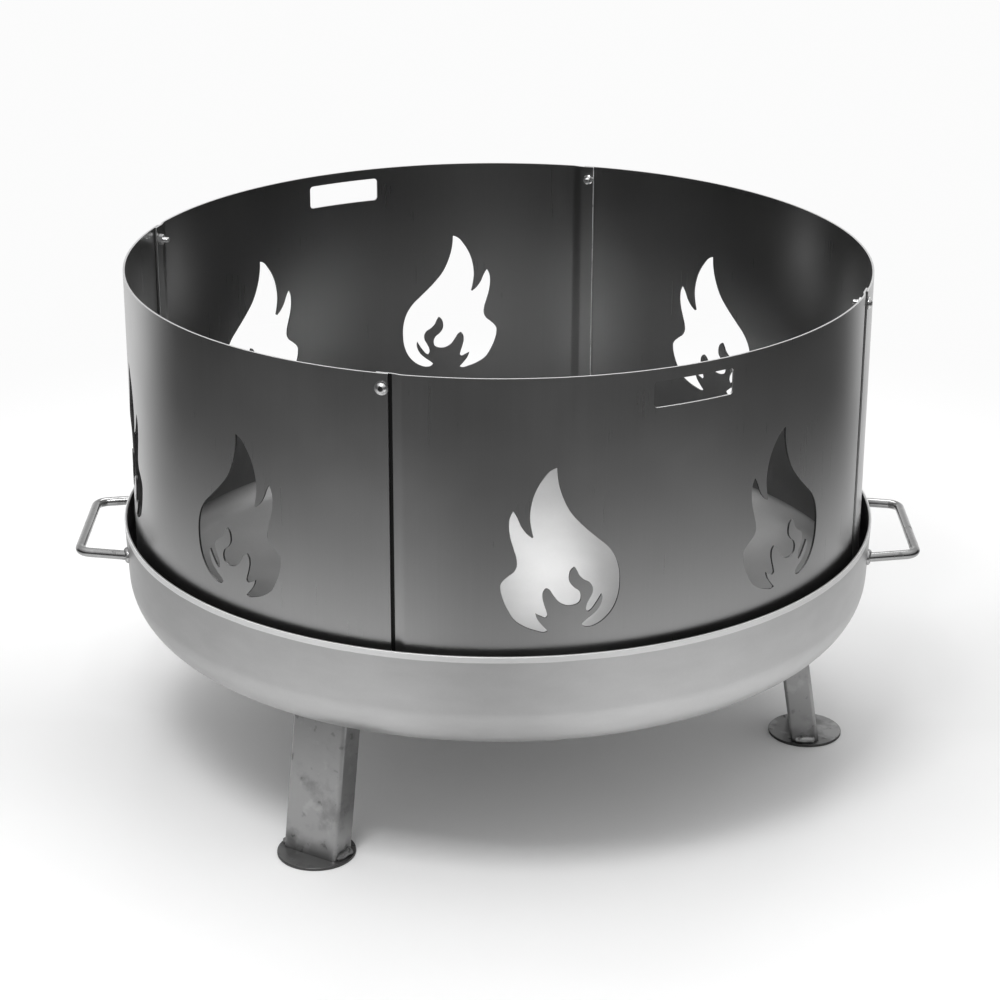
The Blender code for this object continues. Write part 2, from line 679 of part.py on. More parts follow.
clear_scene()
PARTS = bpy.data.collections.new("fire_basket")
CUTTERS = bpy.data.collections.new("cutters")
bpy.context.scene.collection.children.link(PARTS)
bpy.context.scene.collection.children.link(CUTTERS)

add_bowl()
bowl_form = add_bowl_cutter()
add_handles(bowl_form)
add_legs(bowl_form)
add_screen()
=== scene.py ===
# %% [markdown]
# # A fire basket with a spark screen
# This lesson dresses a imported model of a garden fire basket: a dished steel bowl on three
# legs, with a ring of four curved sheets standing in it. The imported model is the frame. It
# says where each piece is and how it moves. Every piece here is a finer surface that takes
# the place of one of its nodes, in the same metres, with +Z up and the front facing -Y.
#
# The lesson goes piece by piece: the sizes, a way of sewing surfaces, each piece, then the
# finishes, the room, the light and the camera.

# %% Open the frame
import math

import bpy
import numpy as np
from mathutils import Matrix, Vector, geometry


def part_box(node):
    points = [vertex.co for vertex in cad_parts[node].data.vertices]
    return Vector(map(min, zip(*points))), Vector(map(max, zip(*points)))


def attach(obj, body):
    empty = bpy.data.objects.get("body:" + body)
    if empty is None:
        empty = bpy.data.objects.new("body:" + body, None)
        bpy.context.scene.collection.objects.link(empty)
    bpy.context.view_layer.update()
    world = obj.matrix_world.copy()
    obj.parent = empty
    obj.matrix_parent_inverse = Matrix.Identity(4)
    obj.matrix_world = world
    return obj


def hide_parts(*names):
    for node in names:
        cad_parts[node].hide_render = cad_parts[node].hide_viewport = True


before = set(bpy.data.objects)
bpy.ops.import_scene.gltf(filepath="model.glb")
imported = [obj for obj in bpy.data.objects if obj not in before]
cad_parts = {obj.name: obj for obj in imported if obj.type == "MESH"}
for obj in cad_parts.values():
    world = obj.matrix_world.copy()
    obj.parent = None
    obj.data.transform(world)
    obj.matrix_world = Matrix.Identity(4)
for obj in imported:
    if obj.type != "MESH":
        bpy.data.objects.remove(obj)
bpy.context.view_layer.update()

# %% [markdown]
# ## Sizes
# The numbers below are the real object's, in metres. A finer surface must lie where the
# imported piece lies, so its sizes are the same ones that the solid model was made from.

# %% Sizes of the bowl, the handles and the legs
BOWL_RADIUS = 0.400
BOWL_SHEET = 0.003
BOWL_RIM = 0.270
WALL_LENGTH = 0.060
WALL_LEAN = math.radians(2.5)
KNUCKLE_RADIUS = 0.052
CROWN_RADIUS = 0.850
RIM_ROUNDING = 0.0008

ROD_RADIUS = 0.005
BAR_LENGTH = 0.140
BAR_X = BOWL_RADIUS + 0.044
BAR_Z = BOWL_RIM - 0.032
BEND_RADIUS = 0.014
ARM_SPLAY = math.radians(11)

LEG_WIDTH = 0.064
LEG_DEPTH = 0.030
LEG_WALL = 0.002
LEG_CORNER = 0.004
LEG_LEAN = math.radians(9)
LEG_AZIMUTHS = {
    "front": math.radians(-122.4), "right": math.radians(-2.4), "rear": math.radians(117.6),
}
PLATE_CIRCLE = 0.342
LEG_CIRCLE = PLATE_CIRCLE - 0.0016
PLATE_RADIUS = 0.040
PLATE_THICKNESS = 0.003
PLATE_EDGE = 0.0004

HANDLE_BEAD = 0.0030
BOWL_BEAD = 0.0022
FOOT_BEAD = 0.0042
BEAD_RIPPLE = 0.0017
BEAD_STEP = 0.0004

# %% Sizes of the screen and its bolts
SHEET = 0.002
SCREEN_RADIUS = 0.3883
SHEET_RADIUS = SCREEN_RADIUS - SHEET / 2
TAB_RADIUS = SHEET_RADIUS - SHEET - 0.0003
SCREEN_HEIGHT = 0.353
SCREEN_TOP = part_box("screen_panel_plain_left")[1].z
SCREEN_FOOT = SCREEN_TOP - SCREEN_HEIGHT
PLAIN_ANGLE = math.radians(90.85)
STEPPED_ANGLE = math.pi - PLAIN_ANGLE
FRONT_LAP = math.radians(-105.95)
LAP_MARGIN = 0.006
JOGGLE_START = 0.0015
JOGGLE_LENGTH = 0.013
# Widths of the painted shade beside a lap and of the painted highlight at a tab's end.
LAP_SHADE_WIDTH = 0.0024
TAB_HIGHLIGHT_WIDTH = 0.0008
BESIDE_BOLT = 0.0045
ROUND_BOLT = 0.009
EDGE_STEP = 0.004
KEEP_OFF = 0.0012

FLAME_SIZE = (0.1135, 0.1655)
FLAME_FOOT = SCREEN_HEIGHT - 0.2528
FLAMES_FROM_LAP = (0.1615, 0.4132)
SLOT_SIZE = (0.086, 0.026)
SLOT_CORNER = 0.004
SLOT_HEIGHT = SCREEN_HEIGHT - 0.0115 - SLOT_SIZE[1] / 2
SLOT_FROM_LAP = 0.298

BOLT_RADIUS = 0.003
BOLT_LENGTH = 0.016
THREAD_PITCH = 0.001
HOLE_RADIUS = 0.0033
SEAT_GAP = 0.0003
BOLT_HEIGHTS = {"bottom": 0.020, "top": SCREEN_HEIGHT - 0.014}
NUT_WIDTH = 0.010
NUT_THICKNESS = 0.005
print("screen stands from", round(SCREEN_FOOT, 4), "to", round(SCREEN_TOP, 4))

# %% [markdown]
# ## Sewing a piece from patches
# Each piece of this basket is bent, rolled or turned metal, so its skin is a few smooth
# areas that meet in edges. A smooth area is easiest to write as a formula of two numbers,
# worked out for a whole grid at once with numpy. The formula gives the direction in which
# the skin faces as well. Handing these directions to the mesh gives exact highlights, with
# far fewer faces than smooth shading needs to look round.
#
# A patch is a set of faces with the place and the facing of each of their corners. Sewing
# puts the patches of one piece together: corners at the same place become one vertex, and
# a face that has shrunk to a line at a pole falls away.

# %% Patches
def patch(points, facing, finish=0, chart=None):
    """The cells of a grid of points, rows by columns, as faces with four corners each.

    facing holds a direction for each point, finish the number of the material, and chart
    an optional flat place (across, up) of each point for patterns that follow the sheet.
    """
    chart = np.zeros(points.shape[:2] + (2,)) if chart is None else chart
    grid = np.concatenate([points, np.broadcast_to(facing, points.shape), chart], axis=2)
    cells = np.stack([grid[:-1, :-1], grid[1:, :-1], grid[1:, 1:], grid[:-1, 1:]], axis=2)
    return cells.reshape(-1, 4, 8), finish


def triangles(corners, facing, finish, chart):
    """Faces with three corners each, kept as four with the last one said twice."""
    faces = np.concatenate([corners, facing, chart], axis=2)
    return np.concatenate([faces, faces[:, 2:]], axis=1), finish


def moved(patches, origin, axes):
    """Patches carried to an origin and turned onto three axes, given as rows."""
    axes = np.asarray(axes, dtype=float)
    placed = []
    for faces, finish in patches:
        faces = faces.copy()
        faces[..., :3] = faces[..., :3] @ axes + origin
        faces[..., 3:6] = faces[..., 3:6] @ axes
        placed.append((faces, finish))
    return placed


def about_z(azimuth):
    """Axes turned about Z, as rows: outward, round and up."""
    cosine, sine = math.cos(azimuth), math.sin(azimuth)
    return (cosine, sine, 0), (-sine, cosine, 0), (0, 0, 1)


# %% Sewing
PIECES = []


def sew(name, patches, finishes, body, replaced=()):
    """A mesh object from patches, riding on a body of the frame.

    Corners within a micrometre are one vertex. A face whose corners run the wrong way
    round for its facing is turned over.
    """
    faces = np.concatenate([faces for faces, _ in patches])
    numbers = np.concatenate([np.full(len(faces), finish) for faces, finish in patches])
    _, first, index = np.unique(
        np.round(faces[..., :3].reshape(-1, 3) * 1e6).astype(np.int64),
        axis=0, return_index=True, return_inverse=True,
    )
    vertices = faces[..., :3].reshape(-1, 3)[first]
    index = index.reshape(-1, 4)

    across = np.cross(faces[:, 2, :3] - faces[:, 0, :3], faces[:, 3, :3] - faces[:, 1, :3])
    wrong = (across * faces[..., 3:6].sum(axis=1)).sum(axis=1) < 0
    index[wrong], faces[wrong] = index[wrong, ::-1], faces[wrong, ::-1]

    own = index != np.roll(index, 1, axis=1)
    four, three = own.sum(axis=1) == 4, own.sum(axis=1) == 3
    corners = np.concatenate([index[four].ravel(), index[three][own[three]]])
    detail = np.concatenate([faces[four].reshape(-1, 8), faces[three][own[three]]])
    mesh = bpy.data.meshes.new(name)
    quads, rest = corners[: 4 * four.sum()], corners[4 * four.sum():]
    faces = quads.reshape(-1, 4).tolist() + rest.reshape(-1, 3).tolist()
    mesh.from_pydata(vertices.tolist(), [], faces)
    mesh.polygons.foreach_set("material_index", np.concatenate([numbers[four], numbers[three]]))
    mesh.uv_layers.new(name="chart").data.foreach_set("uv", detail[:, 6:].ravel())
    mesh.normals_split_custom_set(detail[:, 3:6].tolist())
    for finish in finishes:
        mesh.materials.append(bpy.data.materials.get(finish) or bpy.data.materials.new(finish))

    piece = bpy.data.objects.new(name, mesh)
    bpy.context.scene.collection.objects.link(piece)
    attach(piece, body)
    for node in replaced:
        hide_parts(node)
    PIECES.append(piece)
    print(f"{name}: {len(mesh.vertices)} vertices, {len(mesh.polygons)} faces")
    return piece


# %% [markdown]
# ## Section lines
# A turned piece starts as a section: a line in the half plane of radius and height. Lines
# and arcs make it up, and each of them knows its own direction, so it also knows which way
# the skin faces: to the left of the way the line runs.

# %% Lines, arcs and turning
def line(start, end, steps=1):
    """Points of a straight line, each as (x, y, facing x, facing y)."""
    start, end = np.array(start, dtype=float), np.array(end, dtype=float)
    share = np.linspace(0, 1, steps + 1)[:, None]
    heading = (end - start) / np.linalg.norm(end - start)
    facing = np.broadcast_to((-heading[1], heading[0]), (steps + 1, 2))
    return np.hstack([start + (end - start) * share, facing])


def arc(centre, radius, start, end, steps):
    """Points of an arc: centre + radius * (cos, sin), facing out where it runs clockwise."""
    angle = np.linspace(start, end, steps + 1)[:, None]
    spoke = np.hstack([np.cos(angle), np.sin(angle)])
    return np.hstack([np.array(centre) + radius * spoke, spoke * (1 if end < start else -1)])


def spokes(angle):
    """Level directions at the angles: (cos, sin, 0)."""
    return np.stack([np.cos(angle), np.sin(angle), 0 * angle], axis=2)


def turned(section, steps, finish=0):
    """A section of (radius, height, facing) turned once round Z: radius * spoke + height."""
    spoke, upward = spokes(np.linspace(0, 2 * np.pi, steps + 1)[None, :]), np.array((0, 0, 1))
    radius, height, out, up = (section[:, column, None, None] for column in range(4))
    return patch(radius * spoke + height * upward, out * spoke + up * upward, finish)


# %% [markdown]
# ## The bowl
# The real bowl is a pressed dish of 3 mm steel, as a boiler end is: a shallow crown, a tight
# knuckle and a short upright wall that leans in a little toward the floor. A pressed dish is
# round, so turning its section is the natural way. The two sides of the sheet are arcs round
# the same centres, 3 mm apart. The section is cut at the top of the rim, so that the outside
# and the inside can have finishes of their own.

# %% The bowl
knuckle_centre = (
    BOWL_RADIUS - WALL_LENGTH * math.sin(WALL_LEAN) - KNUCKLE_RADIUS * math.cos(WALL_LEAN),
    BOWL_RIM - WALL_LENGTH * math.cos(WALL_LEAN) + KNUCKLE_RADIUS * math.sin(WALL_LEAN),
)
crown_rise = math.sqrt((CROWN_RADIUS - KNUCKLE_RADIUS) ** 2 - knuckle_centre[0] ** 2)
crown_centre = (0, knuckle_centre[1] + crown_rise)
meeting = math.atan2(crown_rise, knuckle_centre[0])


def bowl_section():
    """The sheet's skin as arcs and lines, from its inner pole over the rim to its outer one."""
    inside = BOWL_RADIUS - BOWL_SHEET / math.cos(WALL_LEAN)
    in_knuckle, in_crown = KNUCKLE_RADIUS - BOWL_SHEET, CROWN_RADIUS - BOWL_SHEET
    edge, quarter = RIM_ROUNDING, math.pi / 2
    parts = [
        arc(crown_centre, in_crown, -quarter, -meeting, 16),
        arc(knuckle_centre, in_knuckle, -meeting, -WALL_LEAN, 16),
        None,
        arc((inside + edge, BOWL_RIM - edge), edge, math.pi - WALL_LEAN, quarter, 4),
        arc((BOWL_RADIUS - edge, BOWL_RIM - edge), edge, quarter, -WALL_LEAN, 4),
        None,
        arc(knuckle_centre, KNUCKLE_RADIUS, -WALL_LEAN, -meeting, 16),
        arc(crown_centre, CROWN_RADIUS, -meeting, -quarter, 16),
    ]
    parts[2] = line(parts[1][-1, :2], parts[3][0, :2], 4)
    parts[5] = line(parts[4][-1, :2], parts[6][0, :2], 4)
    section = np.vstack(parts)
    section[[0, -1], 0] = 0
    return section


section = bowl_section()
summit = section[:, 1].argmax()
sew(
    "bowl", [turned(section[summit:], 288), turned(section[: summit + 1], 288, finish=1)],
    ["bowl steel", "bowl inside painted shade"], "bowl", replaced=["fire_bowl"],
)

# %% [markdown]
# ## Bars and beads along a path
# The handles are round rod bent round a former, and the welds are beads of molten metal
# laid along a seam. Both are one circle carried along a path. At each point of the path two
# directions span the circle: one that the path is given, and one square to it and the path.
# A bead's circle also swells and shrinks, because a welder's hand moves in small steps.

# %% Paths with round corners
def rounded(corners, radius, steps, closed):
    """A path of straight runs whose corners are arcs, in the plane of the first two axes.

    Each arc touches both runs: its ends lie radius * tan(half the turn) from the corner.
    Gives (x, y, facing x, facing y), facing to the right of the way the path runs.
    """
    corners = np.array(corners, dtype=float)
    before, after = np.roll(corners, 1, axis=0), np.roll(corners, -1, axis=0)
    if not closed:
        corners, before, after = corners[1:-1], before[1:-1], after[1:-1]
    arriving = (corners - before) / np.linalg.norm(corners - before, axis=1)[:, None]
    leaving = (after - corners) / np.linalg.norm(after - corners, axis=1)[:, None]
    cross = arriving[:, 0] * leaving[:, 1] - arriving[:, 1] * leaving[:, 0]
    turn = np.arctan2(cross, (arriving * leaving).sum(axis=1))
    left = np.stack([-arriving[:, 1], arriving[:, 0]], axis=1) * np.sign(turn)[:, None]
    start = corners - arriving * (radius * np.tan(np.abs(turn) / 2))[:, None]
    angle = (np.abs(turn)[:, None] * np.linspace(0, 1, steps + 1))[..., None]
    spoke = -left[:, None] * np.cos(angle) + arriving[:, None] * np.sin(angle)
    points = (start + left * radius)[:, None] + radius * spoke
    side = spoke * np.sign(turn)[:, None, None]
    return np.concatenate([points, side], axis=2).reshape(-1, 4)


def swept(path, side, radius, steps, finish=0, closed=False):
    """A circle of a radius carried along a path: path + radius * (cos * side + sin * square).

    side is a direction across the path at each point. square is at right angles to it and
    to the path. An open path starts and ends in a point.
    """
    if closed:
        path, side, radius = (np.concatenate([line, line[:1]]) for line in (path, side, radius))
        heading = np.roll(path[:-1], -1, axis=0) - np.roll(path[:-1], 1, axis=0)
        heading = np.concatenate([heading, heading[:1]])
    else:
        heading = np.gradient(path, axis=0)
    heading /= np.linalg.norm(heading, axis=1)[:, None]
    side = side - heading * (side * heading).sum(axis=1)[:, None]
    side /= np.linalg.norm(side, axis=1)[:, None]
    square = np.cross(heading, side)
    angle = np.linspace(0, 2 * np.pi, steps + 1)[None, :, None]
    facing = side[:, None] * np.cos(angle) + square[:, None] * np.sin(angle)
    points = path[:, None] + radius[:, None, None] * facing
    if not closed:
        points[[0, -1]] = path[[0, -1], None]
    return patch(points, facing, finish)


# %% [markdown]
# ## The handles
# Each handle is a 10 mm rod: a bar and two arms that spread toward the bowl. The arms end on
# the bowl's wall, which is round, so the last circle of the rod can't be flat. Each of its
# points slides along the arm until it is as far from the bowl's axis as the wall is there.
# The same slid circle, a hair farther out, is the seam that the round weld follows.

# %% The handles
def wall_radius(height):
    """Radius of the bowl's outer face at a height on its upright wall."""
    return BOWL_RADIUS - (BOWL_RIM - height) * math.tan(WALL_LEAN)


def slid_to_radius(points, heading, radius):
    """Points moved along a level heading until they are that far from the bowl's axis."""
    along = points[:, :2] @ heading[:2]
    reach = -along - np.sqrt(along ** 2 - (points[:, :2] ** 2).sum(axis=1) + radius ** 2)
    return points + reach[:, None] * heading


def round_weld(seam, sign):
    """A lumpy bead along a closed seam: size + ripples, |sin|, + a slow drift, sin."""
    turn = np.linspace(0, 2 * np.pi, len(seam), endpoint=False)
    along = np.linspace(0, 2 * np.pi, 144, endpoint=False)
    course = np.stack([np.interp(along, turn, seam[:, axis], period=2 * np.pi)
                       for axis in range(3)], axis=1)
    ripple, drift = np.abs(np.sin(5.5 * along + sign)), np.sin(along + 1.2)
    radius = HANDLE_BEAD + 0.0006 * ripple + 0.0005 * drift
    return swept(course, course - course.mean(axis=0), radius, 14, finish=1, closed=True)


def handle_patches():
    """The rod as one swept circle, its two end rings slid into the thickness of the wall."""
    corner = np.array((BAR_X, BAR_LENGTH / 2))
    inward = np.array((-math.cos(ARM_SPLAY), math.sin(ARM_SPLAY)))
    root = corner + inward * 0.06
    corners = [root, corner, corner * (1, -1), root * (1, -1)]
    bends = rounded(corners, BEND_RADIUS, 14, closed=False)
    ends = np.array([[*root, *bends[0, 2:]], [*(root * (1, -1)), *bends[-1, 2:]]])
    route = np.vstack([ends[:1], bends, ends[1:]])
    angle = np.linspace(0, 2 * np.pi, 33)[None, :, None]
    side = np.pad(route[:, None, 2:], ((0, 0), (0, 0), (0, 1)))
    facing = side * np.cos(angle) + np.array((0, 0, 1)) * np.sin(angle)
    centre = np.pad(route[:, :2], ((0, 0), (0, 1)), constant_values=BAR_Z)
    points = centre[:, None] + ROD_RADIUS * facing
    rest = []
    for row, sign in ((0, 1), (-1, -1)):
        heading = np.array((inward[0], inward[1] * sign, 0))
        wall = wall_radius(points[row, :, 2])
        seam = slid_to_radius(points[row, :-1], heading, wall[:-1] + 0.0002)
        points[row] = slid_to_radius(points[row], heading, wall - BOWL_SHEET / 2)
        middle = np.broadcast_to(points[row].mean(axis=0), points[row].shape)
        rest.append(patch(np.stack([points[row], middle]), np.array((-1, 0, 0))))
        rest.append(round_weld(seam, sign))
    return [patch(points, facing), *rest]


for side, azimuth in (("right", 0), ("left", math.pi)):
    sew(
        f"handle_rod_{side}", moved(handle_patches(), (0, 0, 0), about_z(azimuth)),
        ["handle steel", "weld"], "bowl", replaced=[f"handle_{side}"],
    )

# %% [markdown]
# ## The legs
# A leg is a piece of rectangular tube, 64 by 30 mm, that leans in toward the bowl. The round
# corners of the tube and its 2 mm wall are one closed outline and a smaller one inside it.
# Each line of the tube runs up along the lean until it meets the bowl, whose underside is
# part of a ball there, so the place is the answer to one quadratic equation.

# %% The legs
lean = np.array((-math.sin(LEG_LEAN), 0, math.cos(LEG_LEAN)))
leg_base = np.array((LEG_CIRCLE, 0, PLATE_THICKNESS))
ball_centre = np.array((0, 0, crown_centre[1]))


def tube_outline(inset, steps=8):
    """The tube's outline moved inward, as places and facings in the leg's own section."""
    x, y = LEG_DEPTH / 2 - inset, LEG_WIDTH / 2 - inset
    outline = rounded([(-x, -y), (x, -y), (x, y), (-x, y)], LEG_CORNER - inset, steps, closed=True)
    outline = np.vstack([outline, outline[:1]])
    across = np.array((math.cos(LEG_LEAN), 0, math.sin(LEG_LEAN)))
    sideways = np.array((0, 1, 0))
    places = leg_base + outline[:, :1] * across + outline[:, 1:2] * sideways
    return places, outline[:, 2:3] * across + outline[:, 3:] * sideways


def run_to_floor(places):
    """Places moved along the lean down to just above the foot plate."""
    return places + ((PLATE_THICKNESS + 0.0001 - places[:, 2]) / lean[2])[:, None] * lean


def run_to_bowl(places, gap=0.0001):
    """Places moved along the lean up to the ball that the bowl's underside is part of."""
    off = places - ball_centre
    along = off @ lean
    reach = -along - np.sqrt(along ** 2 - (off ** 2).sum(axis=1) + (CROWN_RADIUS + gap) ** 2)
    return places + reach[:, None] * lean


def leg_patches():
    """Both sides of the tube between the plate and the bowl, and the rings that close them."""
    rise = np.linspace(0, 1, 7)[:, None, None]
    walls = []
    for inset in (0, LEG_WALL):
        places, facing = tube_outline(inset)
        low, high = run_to_floor(places), run_to_bowl(places)
        walls.append((low + (high - low) * rise, facing * (1 if inset == 0 else -1)))
    (outer, facing), (inner, _) = walls
    return [
        patch(outer, facing),
        patch(*walls[1]),
        patch(np.stack([outer[0], inner[0]]), np.array((0, 0, -1))),
        patch(np.stack([outer[-1], inner[-1]]), np.array((0, 0, 1))),
    ]


# %% [markdown]
# ## The welds of the legs
# The tube is welded to the bowl all round and to the plate with short stitches on its
# narrow sides. A weld's ripples are less than two millimetres apart. Here its radius swells
# once per ripple and drifts slowly on top of that, as a hand does, and a short stitch thins
# out to nothing at its two ends.

# %% The welds of the legs
def weld_bead(course, side, size, wander, closed):
    """A bead along a course: its radius swells with each ripple and wanders slowly."""
    steps = np.linalg.norm(np.diff(course, axis=0), axis=1)
    along = np.concatenate([[0], np.cumsum(steps)])
    ripple = np.abs(np.sin(np.pi * along / BEAD_RIPPLE))
    drift = 0.14 * np.sin(along / 0.0061 + wander) + 0.10 * np.sin(along / 0.0023 + 2 * wander)
    radius = size * (0.82 + 0.18 * ripple + drift)
    if not closed:
        share = along / along[-1]
        radius = radius * np.minimum(1, 5 * np.sqrt(share * (1 - share)))
    return swept(course, side, radius, 12, closed=closed)


def resampled(course, spacing, closed):
    """The same course with its points a spacing apart."""
    steps = np.linalg.norm(np.diff(course, axis=0), axis=1)
    along = np.concatenate([[0], np.cumsum(steps)])
    count = int(along[-1] / spacing)
    stations = np.linspace(0, along[-1], count, endpoint=not closed)
    return np.stack([np.interp(stations, along, course[:, axis]) for axis in range(3)], axis=1)


def leg_welds():
    """A bead all round under the bowl, and a stitch on each narrow side at the plate."""
    places, _ = tube_outline(-0.0004)
    top = resampled(run_to_bowl(places, gap=0.0006), BEAD_STEP, closed=True)
    beads = [weld_bead(top, top - top.mean(axis=0), BOWL_BEAD, 0.4, closed=True)]
    x, y = LEG_DEPTH / 2 - 0.0045, LEG_WIDTH / 2 + 0.0004
    for sign in (1, -1):
        height = PLATE_THICKNESS + 0.0026
        ends = np.array([(LEG_CIRCLE - x, sign * y, height), (LEG_CIRCLE + x, sign * y, height)])
        stitch = resampled(ends, BEAD_STEP, closed=False)
        side = np.broadcast_to((0, sign, 0.6), stitch.shape)
        beads.append(weld_bead(stitch, side, FOOT_BEAD, sign, closed=False))
    return beads


for place, azimuth in LEG_AZIMUTHS.items():
    sew(
        f"leg_tube_{place}", moved(leg_patches(), (0, 0, 0), about_z(azimuth)), ["leg steel"],
        "bowl", replaced=[f"leg_{place}"],
    )
    sew(
        f"leg_weld_{place}", moved(leg_welds(), (0, 0, 0), about_z(azimuth)), ["weld"],
        "bowl",
    )

# %% [markdown]
# ## The foot plates
# Each leg ends on a round plate of 3 mm steel, 80 mm across, cut with a laser, which leaves a
# dark edge; the edge is painted nearly black, darker still as painted shade. Its section is a
# rectangle with its two rims broken by a fine bevel, turned about the plate's middle.

# %% The foot plates
def plate_section():
    """The runs of the plate's section from its lower middle, round its edge, to its upper one."""
    top, edge = PLATE_THICKNESS, PLATE_EDGE
    corners = [(0, 0), (PLATE_RADIUS - edge, 0), (PLATE_RADIUS, edge),
               (PLATE_RADIUS, top - edge), (PLATE_RADIUS - edge, top), (0, top)]
    return [line(start, end) * (1, 1, -1, -1) for start, end in zip(corners, corners[1:])]


def plate_patches():
    """The two flat faces, and between them the edge with its bevels, a laser cut painted nearly
    black as shade.
    """
    runs = plate_section()
    return [turned(run, 120, finish=0 if number in (0, len(runs) - 1) else 1)
            for number, run in enumerate(runs)]


for place, azimuth in LEG_AZIMUTHS.items():
    middle = (PLATE_CIRCLE * math.cos(azimuth), PLATE_CIRCLE * math.sin(azimuth), 0)
    sew(
        f"plate_{place}", moved(plate_patches(), middle, about_z(azimuth)),
        ["plate steel", "burnt edge painted shade"], "bowl", replaced=[f"foot_plate_{place}"],
    )

# %% [markdown]
# ## The flame figure
# The screen's sheets are cut flat with a laser, and only then rolled. The flame is the
# cutter's figure: smooth strokes that meet in corners. A handful of points gives each
# stroke, and a cubic between two neighbours, with its direction taken from the points on
# both sides, gives the smooth line through them.

# %% The flame figure, in millimetres
FLAME_STROKES = (
    ((1.5, 165.5), (2.4, 153), (6.5, 137), (14, 121), (25.5, 107), (40, 93), (50.5, 83),
     (57.8, 72), (61.8, 59), (62.7, 45), (61.3, 32), (57, 20.3), (50, 11), (42.5, 5.4),
     (34, 2.6), (28.2, 3.6), (26.4, 6.2), (29, 9), (36, 14.5), (42.3, 21), (45.2, 27.3),
     (45.8, 32.5)),
    ((45, 35.2), (42, 29.8), (38, 23.8), (34.6, 19.7), (32.2, 18.4), (30.6, 20.3),
     (30.6, 25.3), (33, 30.8), (36.2, 37.3), (36.4, 43), (34, 47.3), (28.3, 51), (23.6, 56),
     (21, 61.5), (18.6, 64.6), (15.6, 62.2), (13.6, 55.3), (14.2, 50.2), (18.3, 44.5),
     (23.2, 40.4), (25.2, 35), (23.8, 28.8), (19, 26.2), (12, 26), (5, 29.4), (-1, 37.2),
     (-5, 43), (-7.6, 44.4), (-10.4, 41.5), (-11.2, 35.5), (-9.6, 27.8), (-7.2, 20),
     (-6.6, 16.6), (-8.3, 14.6), (-12.5, 16.2)),
    ((-17.8, 19.1), (-15.8, 13.3), (-11.5, 7.4)),
    ((-6, 1.2), (-8, 0), (-18, 1.8), (-28, 6), (-37.5, 13), (-43.6, 23), (-48, 33.5),
     (-50.4, 44.5), (-50.2, 50), (-48.5, 53), (-43, 58.4), (-38, 62.6), (-35.4, 68),
     (-35.6, 75), (-38, 84), (-41.3, 96), (-42.7, 108), (-41.9, 117)),
    ((-39, 123.3), (-36, 118.3), (-31, 107), (-26, 100.3)),
    ((-21.3, 96.4),),
    ((-20.2, 97.2), (-22.2, 106), (-23.4, 116), (-22.6, 127), (-19, 141), (-12, 154),
     (-4, 163.2)),
)


def smooth_stroke(knots, steps=6):
    """A cubic between each two knots, the last knot left out.

    Both ends of a cubic take the knots' own directions: the slopes before and after a
    knot, each weighted by the length of the other side.
    """
    if len(knots) < 3:
        return knots[:-1]
    chord = np.linalg.norm(np.diff(knots, axis=0), axis=1)[:, None]
    slope = np.diff(knots, axis=0) / chord
    inner = (slope[:-1] * chord[1:] + slope[1:] * chord[:-1]) / (chord[:-1] + chord[1:])
    tangent = np.vstack([2 * slope[0] - inner[0], inner, 2 * slope[-1] - inner[-1]])
    t = (np.arange(steps) / steps)[None, :, None]
    place = (1 + 2 * t) * (1 - t) ** 2 * knots[:-1, None] + t * t * (3 - 2 * t) * knots[1:, None]
    bend = t * (1 - t) ** 2 * tangent[:-1, None] - t * t * (1 - t) * tangent[1:, None]
    return (place + chord[:, None] * bend).reshape(-1, 2)


def flame_figure():
    """The closed outline of a flame in metres, across and up from its foot."""
    drawn = np.vstack([np.array(stroke) for stroke in FLAME_STROKES])
    scale = np.array(FLAME_SIZE) / (drawn.max(axis=0) - drawn.min(axis=0))
    strokes = [np.array(stroke) * scale for stroke in FLAME_STROKES]
    following = strokes[1:] + strokes[:1]
    return np.vstack([smooth_stroke(np.vstack([a, b[:1]])) for a, b in zip(strokes, following)])


flame = flame_figure()
print("flame outline:", len(flame), "points,", np.round(np.ptp(flame, axis=0), 4))

# %% [markdown]
# ## The sheets: cut flat, then rolled
# A curved sheet with openings is hard to model directly, and a Boolean leaves long thin
# faces that shade badly. So the sheet is made as in the workshop. Its flat pattern is filled
# with triangles whose edges keep to the outlines, which is what a constrained Delaunay
# triangulation does, and the triangles inside an opening are dropped. Then every corner is
# rolled: its distance along the sheet becomes an angle round the screen's axis.
#
# The ends of two of the sheets step in behind their neighbours. That step is a smooth change
# of radius, and the radius's slope gives the direction in which the bent sheet faces.

# %% Rolling a flat pattern
def plan_line(flat_x, stepped):
    """Radius of the sheet's middle at a flat place, and how fast it changes with the angle."""
    angle = flat_x / SHEET_RADIUS
    if not stepped:
        return angle, np.full_like(angle, SHEET_RADIUS), np.zeros_like(angle)
    start = STEPPED_ANGLE / 2 - (LAP_MARGIN + JOGGLE_START) / SHEET_RADIUS
    length = JOGGLE_LENGTH / SHEET_RADIUS
    t = np.clip((start - np.abs(angle)) / length, 0, 1)
    step = SHEET_RADIUS - TAB_RADIUS
    slope = -np.sign(angle) * step * 6 * t * (1 - t) / length
    return angle, TAB_RADIUS + step * t * t * (3 - 2 * t), slope


def rolled(flat, stepped, centre, depth):
    """Flat places rolled round the axis, moved out by a depth, with their facings."""
    angle, radius, slope = plan_line(flat[:, 0], stepped)
    azimuth = centre + angle
    zero = np.zeros_like(azimuth)
    outward = np.stack([np.cos(azimuth), np.sin(azimuth), zero], axis=1)
    around = np.stack([-np.sin(azimuth), np.cos(azimuth), zero], axis=1)
    facing = outward * radius[:, None] - around * slope[:, None]
    facing /= np.linalg.norm(facing, axis=1)[:, None]
    points = outward * radius[:, None] + facing * depth
    points[:, 2] = SCREEN_FOOT + flat[:, 1]
    return points, facing


